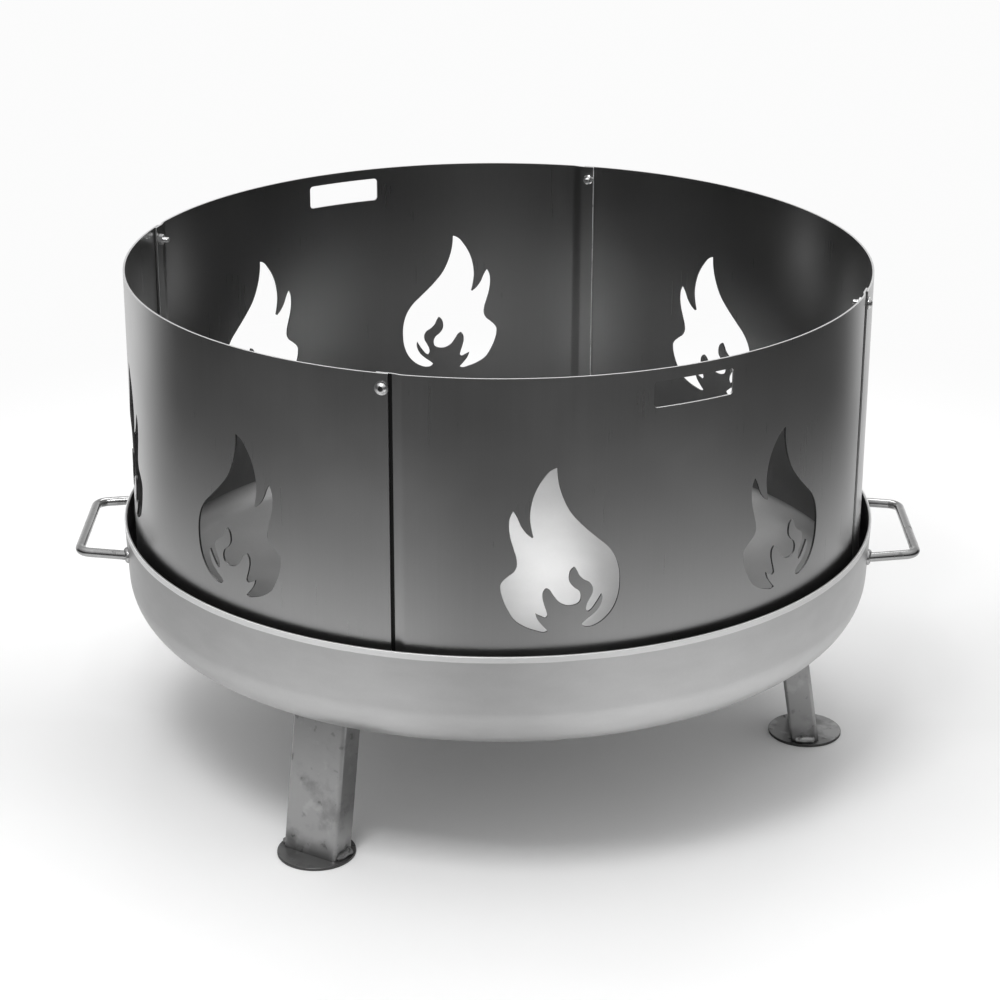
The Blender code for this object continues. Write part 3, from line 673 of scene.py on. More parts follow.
# %% Filling a flat pattern
def inside(points, outline):
    """Whether points lie inside a closed outline: a ray to the right crosses it oddly often."""
    start, end = outline, np.roll(outline, -1, axis=0)
    x, y = points[:, :1], points[:, 1:]
    straddles = (start[:, 1] > y) != (end[:, 1] > y)
    rise = np.where(end[:, 1] == start[:, 1], 1, end[:, 1] - start[:, 1])
    crossing = start[:, 0] + (y - start[:, 1]) / rise * (end[:, 0] - start[:, 0])
    return (straddles & (x < crossing)).sum(axis=1) % 2 == 1


def filled(columns, rows, openings):
    """Triangles of a rectangular sheet with openings, as flat corners (triangles, 3, 2).

    Lattice points in an opening or nearly on its edge are left out.
    """
    low, high = np.array((columns[0], rows[0])), np.array((columns[-1], rows[-1]))
    lattice = np.stack(np.meshgrid(columns, rows, indexing="ij"), axis=2).reshape(-1, 2)
    on_rim = ((lattice == low) | (lattice == high)).any(axis=1)
    cuts = np.vstack(openings)
    near = np.linalg.norm(lattice[:, None] - cuts, axis=2).min(axis=1) < KEEP_OFF
    holes = np.any([inside(lattice, outline) for outline in openings], axis=0)
    lattice = lattice[on_rim | ~(near | holes)]
    points = np.vstack([cuts, lattice])
    links, first = [], 0
    for outline in openings:
        index = np.arange(len(outline))
        links.append(np.stack([index, np.roll(index, -1)], axis=1) + first)
        first += len(outline)
    links = np.vstack(links)
    _, _, faces, origin, _, _ = geometry.delaunay_2d_cdt(
        points.tolist(), links.tolist(), [], 0, 1e-9, True)
    source = np.array([places[0] for places in origin])
    corners = points[source[np.array(faces)]]
    middles = corners.mean(axis=1)
    waste = np.any([inside(middles, outline) for outline in openings], axis=0)
    return corners[~waste]


# %% [markdown]
# The cut itself is a wall as high as the sheet is thick. Along a smooth stroke the wall's
# facing turns gently, and at a corner of the figure it jumps, so neighbouring stretches
# share a facing only where they meet at less than 30 degrees.

# %% The wall of a cut
def cut_wall(outline, stepped, centre, inward, finish):
    """The wall of a cut along a closed flat outline, from the inner to the outer side."""
    step = np.roll(outline, -1, axis=0) - outline
    step /= np.linalg.norm(step, axis=1)[:, None]
    blend = step + np.roll(step, 1, axis=0)
    blend /= np.linalg.norm(blend, axis=1)[:, None]
    gentle = ((step * np.roll(step, 1, axis=0)).sum(axis=1) > math.cos(math.radians(30)))[:, None]
    first = np.where(gentle, blend, step)
    last = np.where(np.roll(gentle, -1), np.roll(blend, -1, axis=0), step)
    ahead = np.roll(outline, -1, axis=0)
    winding = np.sign((outline[:, 0] * ahead[:, 1] - outline[:, 1] * ahead[:, 0]).sum())
    corners, facings = [], []
    for depth, flat, heading in ((-1, outline, first), (-1, ahead, last),
                                 (1, ahead, last), (1, outline, first)):
        point, outward = rolled(flat, stepped, centre, depth * SHEET / 2)
        around = np.cross((0, 0, 1), outward)
        flat_facing = np.stack([heading[:, 1], -heading[:, 0]], axis=1) * winding * inward
        corners.append(point)
        facings.append(around * flat_facing[:, :1] + np.array((0, 0, 1)) * flat_facing[:, 1:])
    grid = np.concatenate([np.stack(corners, axis=1), np.stack(facings, axis=1)], axis=2)
    flat = np.stack([outline] * 4, axis=1)
    return np.concatenate([grid, flat], axis=2), finish


# %% [markdown]
# The lattice is finer across the bend and near the bolts, where a wide triangle would cut a
# corner. A sheet has two flames and four bolt holes, and a stepped one has the grip slot too.

# %% The flat pattern
def flat_pattern(stepped):
    """The lattice's columns and rows, the outlines of the openings, and where the bend ends."""
    half_turn = (STEPPED_ANGLE if stepped else PLAIN_ANGLE) / 2
    row = half_turn * SHEET_RADIUS
    end = row + LAP_MARGIN * (SHEET_RADIUS / TAB_RADIUS if stepped else 1)
    joggle = row - LAP_MARGIN - JOGGLE_START
    bend = np.linspace(joggle - JOGGLE_LENGTH, joggle, 13)
    if stepped:
        main_end = bend[0]
        tail = np.append(bend[1:], [row - BESIDE_BOLT, row, row + BESIDE_BOLT,
                                    end - TAB_HIGHLIGHT_WIDTH, end])
    else:
        main_end = row - 0.010
        tail = np.array([row - 0.005, row, row + BESIDE_BOLT, end])
    columns = np.concatenate([-tail[::-1], np.linspace(-main_end, main_end, 84), tail])
    near_bolts = np.add.outer(list(BOLT_HEIGHTS.values()), np.linspace(-ROUND_BOLT, ROUND_BOLT, 13))
    rows = np.unique(np.append(np.linspace(0, SCREEN_HEIGHT, 19), near_bolts).round(5))

    direction = 1 if stepped else -1
    openings = []
    for along in FLAMES_FROM_LAP:
        across = SHEET_RADIUS * np.arcsin(flame[:, 0] / SHEET_RADIUS)
        middle = -row + along * SHEET_RADIUS / SCREEN_RADIUS
        openings.append(np.stack([(middle + across) * direction, FLAME_FOOT + flame[:, 1]], axis=1))
    if stepped:
        x, y = SLOT_SIZE[0] / 2, SLOT_SIZE[1] / 2
        corners = [(-x, -y), (x, -y), (x, y), (-x, y)]
        slot = rounded(corners, SLOT_CORNER, 8, closed=True)[:, :2]
        # A long straight edge would stay flat when the sheet is rolled, so it gets more points.
        slot = np.vstack([
            np.linspace(one, two, int(np.hypot(*(two - one)) / EDGE_STEP) + 1, endpoint=False)
            for one, two in zip(slot, np.roll(slot, -1, axis=0))
        ])
        openings.append(slot + (-row + SLOT_FROM_LAP * SHEET_RADIUS / SCREEN_RADIUS, SLOT_HEIGHT))
    turn = np.linspace(0, 2 * np.pi, 32, endpoint=False)
    circle = HOLE_RADIUS * np.stack([np.cos(turn), np.sin(turn)], axis=1)
    openings += [circle + (sign * row, height)
                 for sign in (-1, 1) for height in BOLT_HEIGHTS.values()]
    return columns, rows, openings, joggle


# %% [markdown]
# A sheet has a finish for each of its sides: the outside; the inside, painted darker as shade;
# the strip where a stepped end dives behind its neighbour, painted nearly black as shade; the
# edges that were trimmed, bright metal painted brighter as a highlight; the walls of the flames,
# burnt dark by the laser and painted nearly black as shade; and a strip at the very end of a
# tab, painted bright as a highlight.

# %% The sheets
SHEET_FINISHES = ["screen steel", "trimmed edge painted highlight", "burnt edge painted shade", "lap painted shade", "inner steel painted shade",
                  "painted highlight strip"]
OUTSIDE, TRIMMED, BURNT, LAP_SHADE, INSIDE, TAB_HIGHLIGHT = range(6)


def sheet_patches(stepped, centre):
    """Both faces of a rolled sheet, its four outer edges and the walls of its openings."""
    columns, rows, openings, joggle = flat_pattern(stepped)
    end, flat = columns[-1], filled(columns, rows, openings)
    patches = []
    for depth in (1, -1):
        points, facing = rolled(flat.reshape(-1, 2), stepped, centre, depth * SHEET / 2)
        points, facing = points.reshape(-1, 3, 3), depth * facing.reshape(-1, 3, 3)
        # Outside, a strip by the lap is painted nearly black as shade; inside, a tab's last strip
        # is painted bright as a highlight.
        limit, tip, plain = ((joggle - LAP_SHADE_WIDTH, LAP_SHADE, OUTSIDE) if depth > 0 else
                             (end - TAB_HIGHLIGHT_WIDTH, TAB_HIGHLIGHT, INSIDE))
        own = (np.abs(flat.mean(axis=1)[:, 0]) > limit) & stepped
        patches.append(triangles(points[~own], facing[~own], plain, flat[~own]))
        patches.append(triangles(points[own], facing[own], tip, flat[own]))
    rim = np.vstack([
        np.stack([columns, np.zeros_like(columns)], axis=1)[:-1],
        np.stack([np.full_like(rows, end), rows], axis=1)[:-1],
        np.stack([columns[::-1], np.full_like(columns, SCREEN_HEIGHT)], axis=1)[:-1],
        np.stack([np.full_like(rows, -end), rows[::-1]], axis=1)[:-1],
    ])
    patches.append(cut_wall(rim, stepped, centre, 1, TRIMMED))
    for number, outline in enumerate(openings):
        finish = BURNT if number < len(FLAMES_FROM_LAP) else TRIMMED
        patches.append(cut_wall(outline, stepped, centre, -1, finish))
    return patches


for lap, plain, stepped in ((FRONT_LAP, "plain_left", "stepped_front"),
                            (FRONT_LAP + math.pi, "plain_right", "stepped_back")):
    for name, patches in ((plain, sheet_patches(False, lap - PLAIN_ANGLE / 2)),
                          (stepped, sheet_patches(True, lap + STEPPED_ANGLE / 2))):
        sew(
            f"sheet_{name}", patches, SHEET_FINISHES, "screen",
            replaced=[f"screen_panel_{name}"],
        )

# %% [markdown]
# ## The lap bolts
# The sheets are held by button-head bolts with a flange. Seen from above, the head is round
# outside and has a hexagon socket. A grid of rings does both: every ring has its own radius
# at each angle, and for the socket that radius is the hexagon's.
#
# The thread is a helix. At a place along the shank and an angle round it, its radius dips
# and rises once per pitch, and the dip moves along by one pitch per turn.

# %% Rings, hexagons and flat facets
def hexagon(apothem, angle):
    """Distance from a hexagon's middle to its edge at an angle; its flats face 0, 60, ..."""
    return apothem / np.cos((angle + np.pi / 6) % (np.pi / 3) - np.pi / 6)


def facets(patch_of_faces):
    """The same faces, each facing one way all over."""
    faces, finish = patch_of_faces
    normal = np.cross(faces[:, 2, :3] - faces[:, 0, :3], faces[:, 3, :3] - faces[:, 1, :3])
    normal /= np.maximum(np.linalg.norm(normal, axis=1), 1e-15)[:, None]
    faces = faces.copy()
    side = np.sign((normal * faces[..., 3:6].sum(axis=1)).sum(axis=1))[:, None]
    faces[..., 3:6] = (normal * side)[:, None]
    return faces, finish


def rings(radii, heights, angle, facing, finish=0):
    """A grid of rings from the radii of their points and the height of each ring or point."""
    radii, heights = np.vstack(radii), np.array(heights)
    heights = heights[:, None] if heights.ndim == 1 else np.vstack(heights)
    radii, heights = np.broadcast_arrays(radii, heights)
    points = np.stack([radii * np.cos(angle), radii * np.sin(angle), heights], axis=2)
    return patch(points, facing, finish)


# %% The bolts
def bolt_head():
    """A flange, a dome that is an arc through its foot and its top, and a hexagon socket."""
    flange, flange_edge, shoulder = 0.0068, 0.0006, 0.0009
    dome, flat, height = 0.00525, 0.0029, 0.0033
    middle = (height + shoulder - (dome ** 2 - flat ** 2) / (height - shoulder)) / 2
    ball = math.hypot(flat, height - middle)
    top, low = math.atan2(height - middle, flat), math.atan2(shoulder - middle, dome)
    section = [
        line((flange, 0), (BOLT_RADIUS, 0)),
        line((flange, flange_edge), (flange, 0)),
        line((dome, shoulder), (flange, flange_edge)),
        arc((0, middle), ball, top, low, 8),
    ]
    angle, up = np.linspace(0, 2 * np.pi, 73)[None, :], np.array((0, 0, 1))
    socket, lip, deep = hexagon(0.002, angle), height - 0.0002, height - 0.002
    mouth = socket * 1.06
    return [turned(run, 48) for run in section] + [
        rings([flat + 0 * angle, mouth], [height, height], angle, up),
        facets(rings([mouth, socket], [height, lip], angle, up, finish=1)),
        facets(rings([socket, socket], [lip, deep], angle, -spokes(angle), finish=1)),
        rings([socket, 0 * angle], [deep, deep - 0.0006], angle, up, finish=1),
    ]


def threaded_shank():
    """A helix: the radius dips once per pitch along and once per turn round, and tapers off."""
    angle, up = np.linspace(0, 2 * np.pi, 25)[None, :], np.array((0, 0, 1))
    along = np.linspace(0, BOLT_LENGTH, 145)[:, None]
    phase = (along / THREAD_PITCH - angle / (2 * np.pi)) % 1
    deepest, taper_length = 0.0006, 0.0008
    dip = np.abs(2 * phase - 1) * deepest
    taper = np.clip((along - BOLT_LENGTH + taper_length) / taper_length, 0, 1) * deepest
    radius = np.minimum(BOLT_RADIUS - dip, BOLT_RADIUS - taper)
    slope = np.gradient(radius, along[:, 0], axis=0)
    facing = spokes(angle) + slope[..., None] * up
    facing /= np.linalg.norm(facing, axis=2)[..., None]
    shank = rings(radius, -along[:, 0], angle, facing)
    tip = rings([radius[-1], 0 * radius[-1]], [-BOLT_LENGTH, -BOLT_LENGTH], angle, -up)
    return [shank, tip]


# %% [markdown]
# ## The nuts
# A nut is a hexagon whose corners are turned off by a cone, which leaves the curved line
# along the top of each flat. The height of its face is that cone's: level near the bore,
# and falling by tan 30 degrees beyond a circle a little smaller than the flats.

# %% The nuts
def nut_patches():
    """Both faces under their cones, the six flats between them, and the bore."""
    angle = np.linspace(0, 2 * np.pi, 97)[None, :]
    rim = hexagon(NUT_WIDTH / 2, angle)
    share = np.linspace(0, 1, 7)[:, None]
    radius = HOLE_RADIUS + (rim - HOLE_RADIUS) * share
    fall = np.clip(radius - 0.96 * NUT_WIDTH / 2, 0, None) * math.tan(math.radians(30))
    height = NUT_THICKNESS / 2 - fall
    up, bore = np.array((0, 0, 1)), HOLE_RADIUS + 0 * angle
    return [
        facets(rings(radius, height, angle, up)),
        facets(rings(radius, -height, angle, -up)),
        facets(rings([rim, rim], [height[-1], -height[-1]], angle, spokes(angle))),
        rings([bore, bore], [NUT_THICKNESS / 2, -NUT_THICKNESS / 2], angle, -spokes(angle)),
    ]


# %% Bolts and nuts on the four laps
def on_ring(azimuth):
    """Axes of a fastener: its own Z points out of the screen, and its X runs round it."""
    cosine, sine = math.cos(azimuth), math.sin(azimuth)
    return (-sine, cosine, 0), (0, 0, 1), (cosine, sine, 0)


def spun(patches, angle):
    """Patches turned about their own Z, as each fastener stops at its own angle."""
    return moved(patches, (0, 0, 0), about_z(angle))


bolt, nut = bolt_head() + threaded_shank(), nut_patches()
bolt_radius = SCREEN_RADIUS + SEAT_GAP
nut_radius = TAB_RADIUS - SHEET / 2 - SEAT_GAP - NUT_THICKNESS / 2
LAPS = {
    "front": FRONT_LAP, "right": FRONT_LAP + STEPPED_ANGLE,
    "back": FRONT_LAP + math.pi, "left": FRONT_LAP + math.pi + STEPPED_ANGLE,
}
for number, (lap, azimuth) in enumerate(LAPS.items()):
    outward = np.array((math.cos(azimuth), math.sin(azimuth), 0))
    for level, height in BOLT_HEIGHTS.items():
        up = np.array((0, 0, SCREEN_FOOT + height))
        turn = 0.5 + 1.1 * number + (0.4 if level == "top" else 0)
        for kind, patches, radius, angle, finishes in (
            ("bolt", bolt, bolt_radius, turn, ["zinc", "zinc socket"]),
            ("nut", nut, nut_radius, turn + 0.3, ["zinc"]),
        ):
            sew(
                f"{kind}_{lap}_{level}",
                moved(spun(patches, angle), outward * radius + up, on_ring(azimuth)),
                finishes, "screen", replaced=[f"lap_{kind}_{lap}_{level}"],
            )

# %% [markdown]
# ## Writing a finish
# A finish is a small network of nodes. Written node by node it is long and hard to read, so
# one class wraps a socket and lets Python's own signs add the Math nodes: `1 - mask` is a
# node, and so is `mask * 0.2`. Any other node comes from its one method called node.

# %% A socket that can be written in sums
class Strand:
    """A socket of a material. Sums, differences, products and shares of it are Math nodes."""

    def __init__(self, tree, socket=None):
        self.tree, self.socket = tree, socket

    def node(self, kind, sockets=None, output=0, **settings):
        """A new node: first its settings, then its sockets' values or links."""
        made = self.tree.nodes.new(kind)
        for name, value in settings.items():
            setattr(made, name, value)
        for key, value in (sockets or {}).items():
            if isinstance(value, Strand):
                self.tree.links.new(value.socket, made.inputs[key])
            else:
                made.inputs[key].default_value = value
        return Strand(self.tree, made.outputs[output]) if made.outputs else None

    def math(self, operation, first, second=0.0):
        """A Math node of two values, or of one where the operation takes one."""
        return self.node("ShaderNodeMath", {0: first, 1: second}, operation=operation)

    def __add__(self, other):
        return self.math("ADD", self, other)

    def __sub__(self, other):
        return self.math("SUBTRACT", self, other)

    def __rsub__(self, other):
        return self.math("SUBTRACT", other, self)

    def __mul__(self, other):
        return self.math("MULTIPLY", self, other)

    def __truediv__(self, other):
        return self.math("DIVIDE", self, other)

    __radd__ = __add__
    __rmul__ = __mul__

    def between(self, low, high):
        """0 below low, 1 above high and a smooth rise between; falls where low > high."""
        ends = {0: self, 1: low, 2: high, 3: 0.0, 4: 1.0}
        if low > high:
            ends = {0: self, 1: high, 2: low, 3: 1.0, 4: 0.0}
        return self.node("ShaderNodeMapRange", ends, interpolation_type="SMOOTHSTEP")

    def grey(self, low, high):
        """A neutral colour that goes from one level to the other with this value."""
        colours = {0: self, 6: (low, low, low, 1), 7: (high, high, high, 1)}
        return self.node("ShaderNodeMix", colours, output=2, data_type="RGBA")

    def parts(self):
        """The x, y and z of a place, each as a strand."""
        split = self.node("ShaderNodeSeparateXYZ", {0: self}).socket.node
        return [Strand(self.tree, output) for output in split.outputs]

    def reach(self):
        """How far a place is from the upright axis."""
        flat = self.node("ShaderNodeVectorMath", {0: self, 1: (1, 1, 0)}, operation="MULTIPLY")
        return self.node("ShaderNodeVectorMath", {0: flat}, output=1, operation="LENGTH")


# %% Patterns that several finishes use
CHART, OBJECT = 2, 3


def stretched(graph, place, scale):
    """A place with its axes scaled."""
    return graph.node("ShaderNodeMapping", {"Vector": place, "Scale": scale}, vector_type="POINT")


def noise(graph, place, scale, detail=3.0, roughness=0.5):
    """Smooth random values between 0 and 1, about 1/scale apart."""
    sockets = {"Vector": place, "Scale": scale, "Detail": detail, "Roughness": roughness}
    return graph.node("ShaderNodeTexNoise", sockets, noise_dimensions="3D")


def metal(name):
    """An empty metal finish: its graph and its shader."""
    material = bpy.data.materials.get(name) or bpy.data.materials.new(name)
    material.use_nodes = True
    shader = material.node_tree.nodes["Principled BSDF"]
    return Strand(material.node_tree), shader


def join(graph, shader, **sockets):
    """Put values or links on the shader's sockets, named with spaces for underscores."""
    for key, value in sockets.items():
        socket = shader.inputs[key.replace("_", " ")]
        if isinstance(value, Strand):
            graph.tree.links.new(value.socket, socket)
        else:
            socket.default_value = value


# %% [markdown]
# ## Bare steel sheet
# Cold-rolled sheet is a satin metal. Close up it has a fine grain along the way it was
# rolled; from a step back it is cloudy where oil and handling have left it a little duller.
# The grain is a noise squeezed in one direction, the clouds are a noise of a hand's width,
# and both change the level a little and the roughness a little.
#
# One function serves all bare steel here. A piece that was handled more has stains: dark
# blotches, small spots and rubbed bright places, each a noise cut off at a level. Welding
# leaves a dull tint near a weld at a leg's foot, and a leg's upper part, under the bowl, is
# painted darker as shade. A plate is painted darker on its side toward the bowl's middle, as
# painted shadow of the bowl. Where a pattern should follow the rolled sheet it reads the
# sheet's chart, which is its UV map, and otherwise it reads the place in the object. The
# sheets' inside is painted a little darker as shade.

# %% Screen steel
def sheet_steel(name, level, roughness, grain_scale, kind=OBJECT, stains=0.0, heat_tint_and_shade=0.0,
                painted_bowl_shadow=0.0, relief=3e-6):
    """Rolled steel: a level and a roughness, with grain, clouds, stains, weld tint and painted
    shade and shadow.
    """
    graph, shader = metal(name)
    place = graph.node("ShaderNodeTexCoord", output=kind)
    grain = noise(graph, stretched(graph, place, grain_scale), 1.0, detail=2.0)
    clouds = noise(graph, place, 7.0, detail=3.0)
    fine = noise(graph, place, 420.0, detail=2.0)
    shade = (grain - 0.5) * 0.10 + (clouds - 0.5) * 0.14 + (fine - 0.5) * 0.05 + 0.5
    rough = roughness + (grain - 0.5) * 0.05 + clouds.between(0.35, 0.75) * 0.05
    if stains:
        blotches = noise(graph, place, 24.0, detail=5.0, roughness=0.6).between(0.48, 0.66)
        spots = noise(graph, place, 95.0, detail=2.0).between(0.64, 0.72)
        rubbed = noise(graph, place, 60.0, detail=4.0).between(0.58, 0.70)
        shade = shade + (rubbed * 0.6 - blotches - spots * 0.8 + 0.25) * stains
        rough = rough + (blotches * 0.3 + spots * 0.4) * stains
    # Painted shadow: a plate darker toward the bowl's middle, under the bowl.
    if painted_bowl_shadow:
        edge = (LEG_CIRCLE + 0.030, LEG_CIRCLE + 0.004)
        shade = shade - (place.reach() + clouds * 0.02).between(*edge) * painted_bowl_shadow
    if heat_tint_and_shade:
        height = place.parts()[2]
        ragged = noise(graph, place, 70.0, detail=2.0) * 0.012
        # A dull tint from welding just above the foot plate.
        shade = shade - (height - ragged).between(0.020, 0.004) * heat_tint_and_shade
        # Painted shade: a leg darker toward its top, under the bowl.
        shade = shade - (height + ragged * 2).between(0.08, 0.19) * heat_tint_and_shade * 0.6
    colour = ((shade - 0.5) * 0.35 + 0.5).grey(level * 0.2, level * 1.8)
    join(graph, shader, Base_Color=colour, Metallic=1.0, Roughness=rough)
    if relief:
        height = grain * 0.6 + fine * 0.4
        bump = graph.node("ShaderNodeBump", {"Strength": 1.0, "Distance": relief, "Height": height})
        join(graph, shader, Normal=bump)
    print(f"{name}: {len(graph.tree.nodes)} nodes")


sheet_steel("screen steel", 0.43, 0.28, grain_scale=(600, 4, 1), kind=CHART, relief=0)
# Painted shade: the sheets' inside is a darker copy of the same steel.
sheet_steel("inner steel painted shade", 0.23, 0.28, grain_scale=(600, 4, 1), kind=CHART, relief=0)

# %% [markdown]
# ## The bowl's steel
# The bowl is pressed from thicker plate, and its rim is ground by hand after it is cut, so a
# bright band some 6 mm wide runs round under the edge. The band is also a painted highlight,
# the light that a ground bevel under the rim would catch. The band is found from the place
# itself: high enough up the wall, and outside it. The inside is smoother and painted a little
# brighter as light, and its upright wall is painted dark as the shade in the gap behind the
# screen. Painted light runs across the whole dish: darkest at its far left, brightest a little
# right of the middle.

# %% Bowl steel
BAND_HEIGHT = 0.0062


def bowl_finish(name, inside):
    """Pressed plate: clouds, painted light, a ground band that is partly painted highlight; inside
    smoother, painted lighter, its upright wall painted dark as shade.
    """
    graph, shader = metal(name)
    place = graph.node("ShaderNodeTexCoord", output=OBJECT)
    (across, _, height), radius = place.parts(), place.reach()
    clouds = noise(graph, place, 6.0, detail=4.0)
    fine = noise(graph, place, 350.0, detail=3.0)
    patches = noise(graph, stretched(graph, place, (1, 1, 3)), 22.0, detail=2.0)
    wave = noise(graph, place, 30.0, detail=2.0)
    edge = BOWL_RIM - BAND_HEIGHT + (wave - 0.5) * 0.0010
    # The ground band is bright metal and also a painted highlight, standing in for light on a bevel
    # under the rim.
    band = (height - edge).between(-0.0002, 0.0004) * radius.between(0.3985, 0.3990)
    streaks = noise(graph, stretched(graph, place, (1, 1, 14)), 90.0, detail=3.0)
    # Painted light across the dish: darkest at the far left, brightest a little right of the
    # middle.
    shade = across * 0.38 - across * across * 1.3 + 0.56
    shade = shade + (clouds - 0.5) * 0.30 + (fine - 0.5) * 0.06 + (patches - 0.5) * 0.14
    if inside:
        # Painted light and shade: the inside a little brighter, its upright wall darker as the
        # shade in the gap behind the screen.
        shade = (shade + 0.04) * (1 - radius.between(0.386, 0.392) * 0.6)
    level = shade.grey(0.26, 0.80)
    bright = (streaks * 0.5 + 0.25).grey(0.82, 0.98)
    colour = graph.node("ShaderNodeMix", {0: band, 6: level, 7: bright}, output=2, data_type="RGBA")
    crest = height.between(BOWL_RIM - 0.0012, BOWL_RIM - 0.0004) * 0.25
    rough = crest + band * 0.10 + (0.29 if inside else 0.40)
    rough = rough + clouds.between(0.35, 0.7) * 0.05 + (fine - 0.5) * 0.05
    relief = fine * 0.5 + streaks * band
    bump = graph.node("ShaderNodeBump", {"Strength": 0.15, "Distance": 0.00006, "Height": relief})
    join(graph, shader, Base_Color=colour, Metallic=1.0, Roughness=rough, Normal=bump)
    print(f"{name}: {len(graph.tree.nodes)} nodes")


bowl_finish("bowl steel", inside=False)
bowl_finish("bowl inside painted shade", inside=True)

# %% [markdown]
# ## Tube, plate, rod and weld
# The legs are hot-rolled tube, a little darker and blotchier than the sheet, with a dull tint
# from welding at the foot and painted shade toward the top, under the bowl. The plates are
# darker still, with painted shadow on their side toward the bowl's middle. The handles are smooth
# drawn rod with stains. A weld is lumpy and shows bands of light and dark where it cooled.

# %% Leg, plate, handle and weld steel
sheet_steel("leg steel", 0.34, 0.33, (90, 90, 9), stains=0.40, heat_tint_and_shade=0.7, relief=1e-5)
sheet_steel("plate steel", 0.30, 0.36, (30, 30, 30), stains=0.6, painted_bowl_shadow=1.1, relief=1e-5)
sheet_steel("handle steel", 0.36, 0.15, (60, 60, 60), stains=0.7, relief=2e-5)
sheet_steel("weld", 0.44, 0.30, (300, 300, 300), stains=1.0, relief=3e-4)

# %% [markdown]
# ## Edges
# An edge tells how it was made. A trimmed one is bright and satin, and is painted brighter
# still as a highlight. One that a laser has burnt through is dark with oxide, and is painted
# nearly black as shade. The strip at a tab's end is painted bright, dull and uneven as a
# highlight. The strip beside a lap is painted nearly black as shade, and no light comes back
# from it.

# %% Edges
EDGE_GRAIN = (500, 500, 90)
# Painted highlight: trimmed edges, the screen's top edge among them, are painted brighter than the
# sheet.
sheet_steel("trimmed edge painted highlight", 0.66, 0.34, EDGE_GRAIN)
# Laser oxide and painted shade: the walls of the flames and the plates' edges are nearly black.
sheet_steel("burnt edge painted shade", 0.09, 0.45, EDGE_GRAIN)
# Painted highlight: a bright, uneven strip at the inner end of a tab.
sheet_steel("painted highlight strip", 0.78, 0.60, EDGE_GRAIN, stains=0.8)
# Painted shade: the strip beside a lap, nearly black.
sheet_steel("lap painted shade", 0.03, 0.50, EDGE_GRAIN)

# %% [markdown]
# ## Zinc
# The fasteners are galvanised: a bright, slightly mottled grey. The socket is a deep narrow
# hole, and its walls have a darker finish of their own.

# %% Zinc
sheet_steel("zinc", 0.80, 0.26, (700, 700, 700))
sheet_steel("zinc socket", 0.20, 0.35, (700, 700, 700))

# %% [markdown]
# ## The room
# Metal shows its surroundings. The basket stands on a pale studio floor, with bright walls
# behind it and a dark room in front. That dark end is what gives the screen its shading: an
# upright sheet seen from above mirrors the floor in front of it, near its foot the bright
# part and near its rim the part that lies in the dark.
#
# The camera sees the floor pale all over. Only the other rays meet a painted pool of light on
# it, bright near the basket and far behind it, with its dark end far in front: Light Path tells
# them apart. The floor's colour also carries painted light, lighter in front of and behind the
# basket and darker to its sides. Near the basket the floor is matt and takes a real shadow.
# Farther off it glows evenly instead, so that it runs into the backdrop without a horizon.

# %% The floor
def rear_share(graph, x, y):
    """How far a level direction lies in the bright rear part of the studio, 0 to 1."""
    reach = graph.math("SQRT", x * x + y * y + 1e-6)
    return ((y - graph.math("ABSOLUTE", x) * 0.55 - x * 0.12) / reach).between(-0.20, 0.35), reach


def floor_finish():
    """A pale floor with a real shadow near the basket, a glow farther off, and painted light."""
    material = bpy.data.materials.new("pale floor")
    material.use_nodes = True
    tree = material.node_tree
    tree.nodes.clear()
    graph = Strand(tree)
    x, y, _ = graph.node("ShaderNodeTexCoord", output=OBJECT).parts()
    rear, reach = rear_share(graph, x, y)
    wide, deep = graph.math("ABSOLUTE", x), graph.math("ABSOLUTE", y)
    camera_ray = graph.node("ShaderNodeLightPath")  # its first output is Is Camera Ray
    # Painted pool of light, for all but camera rays: bright near the basket and far behind it, dark
    # far in front.
    pool = 1 - reach.between(0.55, 1.60) * 0.93
    lit = (pool + (1 - pool) * rear) * ((wide / reach).between(0.10, 0.40) * 0.3 + 0.7)
    shown = camera_ray + (1 - camera_ray) * lit
    # Painted light on the floor's colour: lighter in front of and behind the basket, darker to its
    # sides.
    painted_floor_light = (deep * 0.6 - wide * 0.35).between(-0.30, 0.15)
    level = shown * (painted_floor_light * 0.17 + 0.80)
    matt = graph.node("ShaderNodeBsdfDiffuse", {"Color": level})
    even = graph.node("ShaderNodeEmission", {"Color": level, "Strength": 1.0})
    far = reach.between(0.75, 1.5)
    mixed = graph.node("ShaderNodeMixShader", {0: far, 1: matt, 2: even})
    graph.node("ShaderNodeOutputMaterial", {"Surface": mixed})
    return material


FLOOR_REACH = 30.0
floor_mesh = bpy.data.meshes.new("studio_floor")
corners = FLOOR_REACH * np.array([(-1, -1, 0), (1, -1, 0), (1, 1, 0), (-1, 1, 0)])
floor_mesh.from_pydata(corners.tolist(), [], [(0, 1, 2, 3)])
floor_mesh.materials.append(floor_finish())
floor = bpy.data.objects.new("studio_floor", floor_mesh)
bpy.context.scene.collection.objects.link(floor)
print("floor:", 2 * FLOOR_REACH, "m square")

# %% [markdown]
# ## The walls and the ceiling
# The world stands for the rest of the studio. Its brightness depends on the direction: near
# the horizon it is dark in front and bright behind the basket, halfway up it is bright all
# round, and overhead brighter still. The camera sees an even pale backdrop instead.

# %% The world
BACKDROP = 0.93


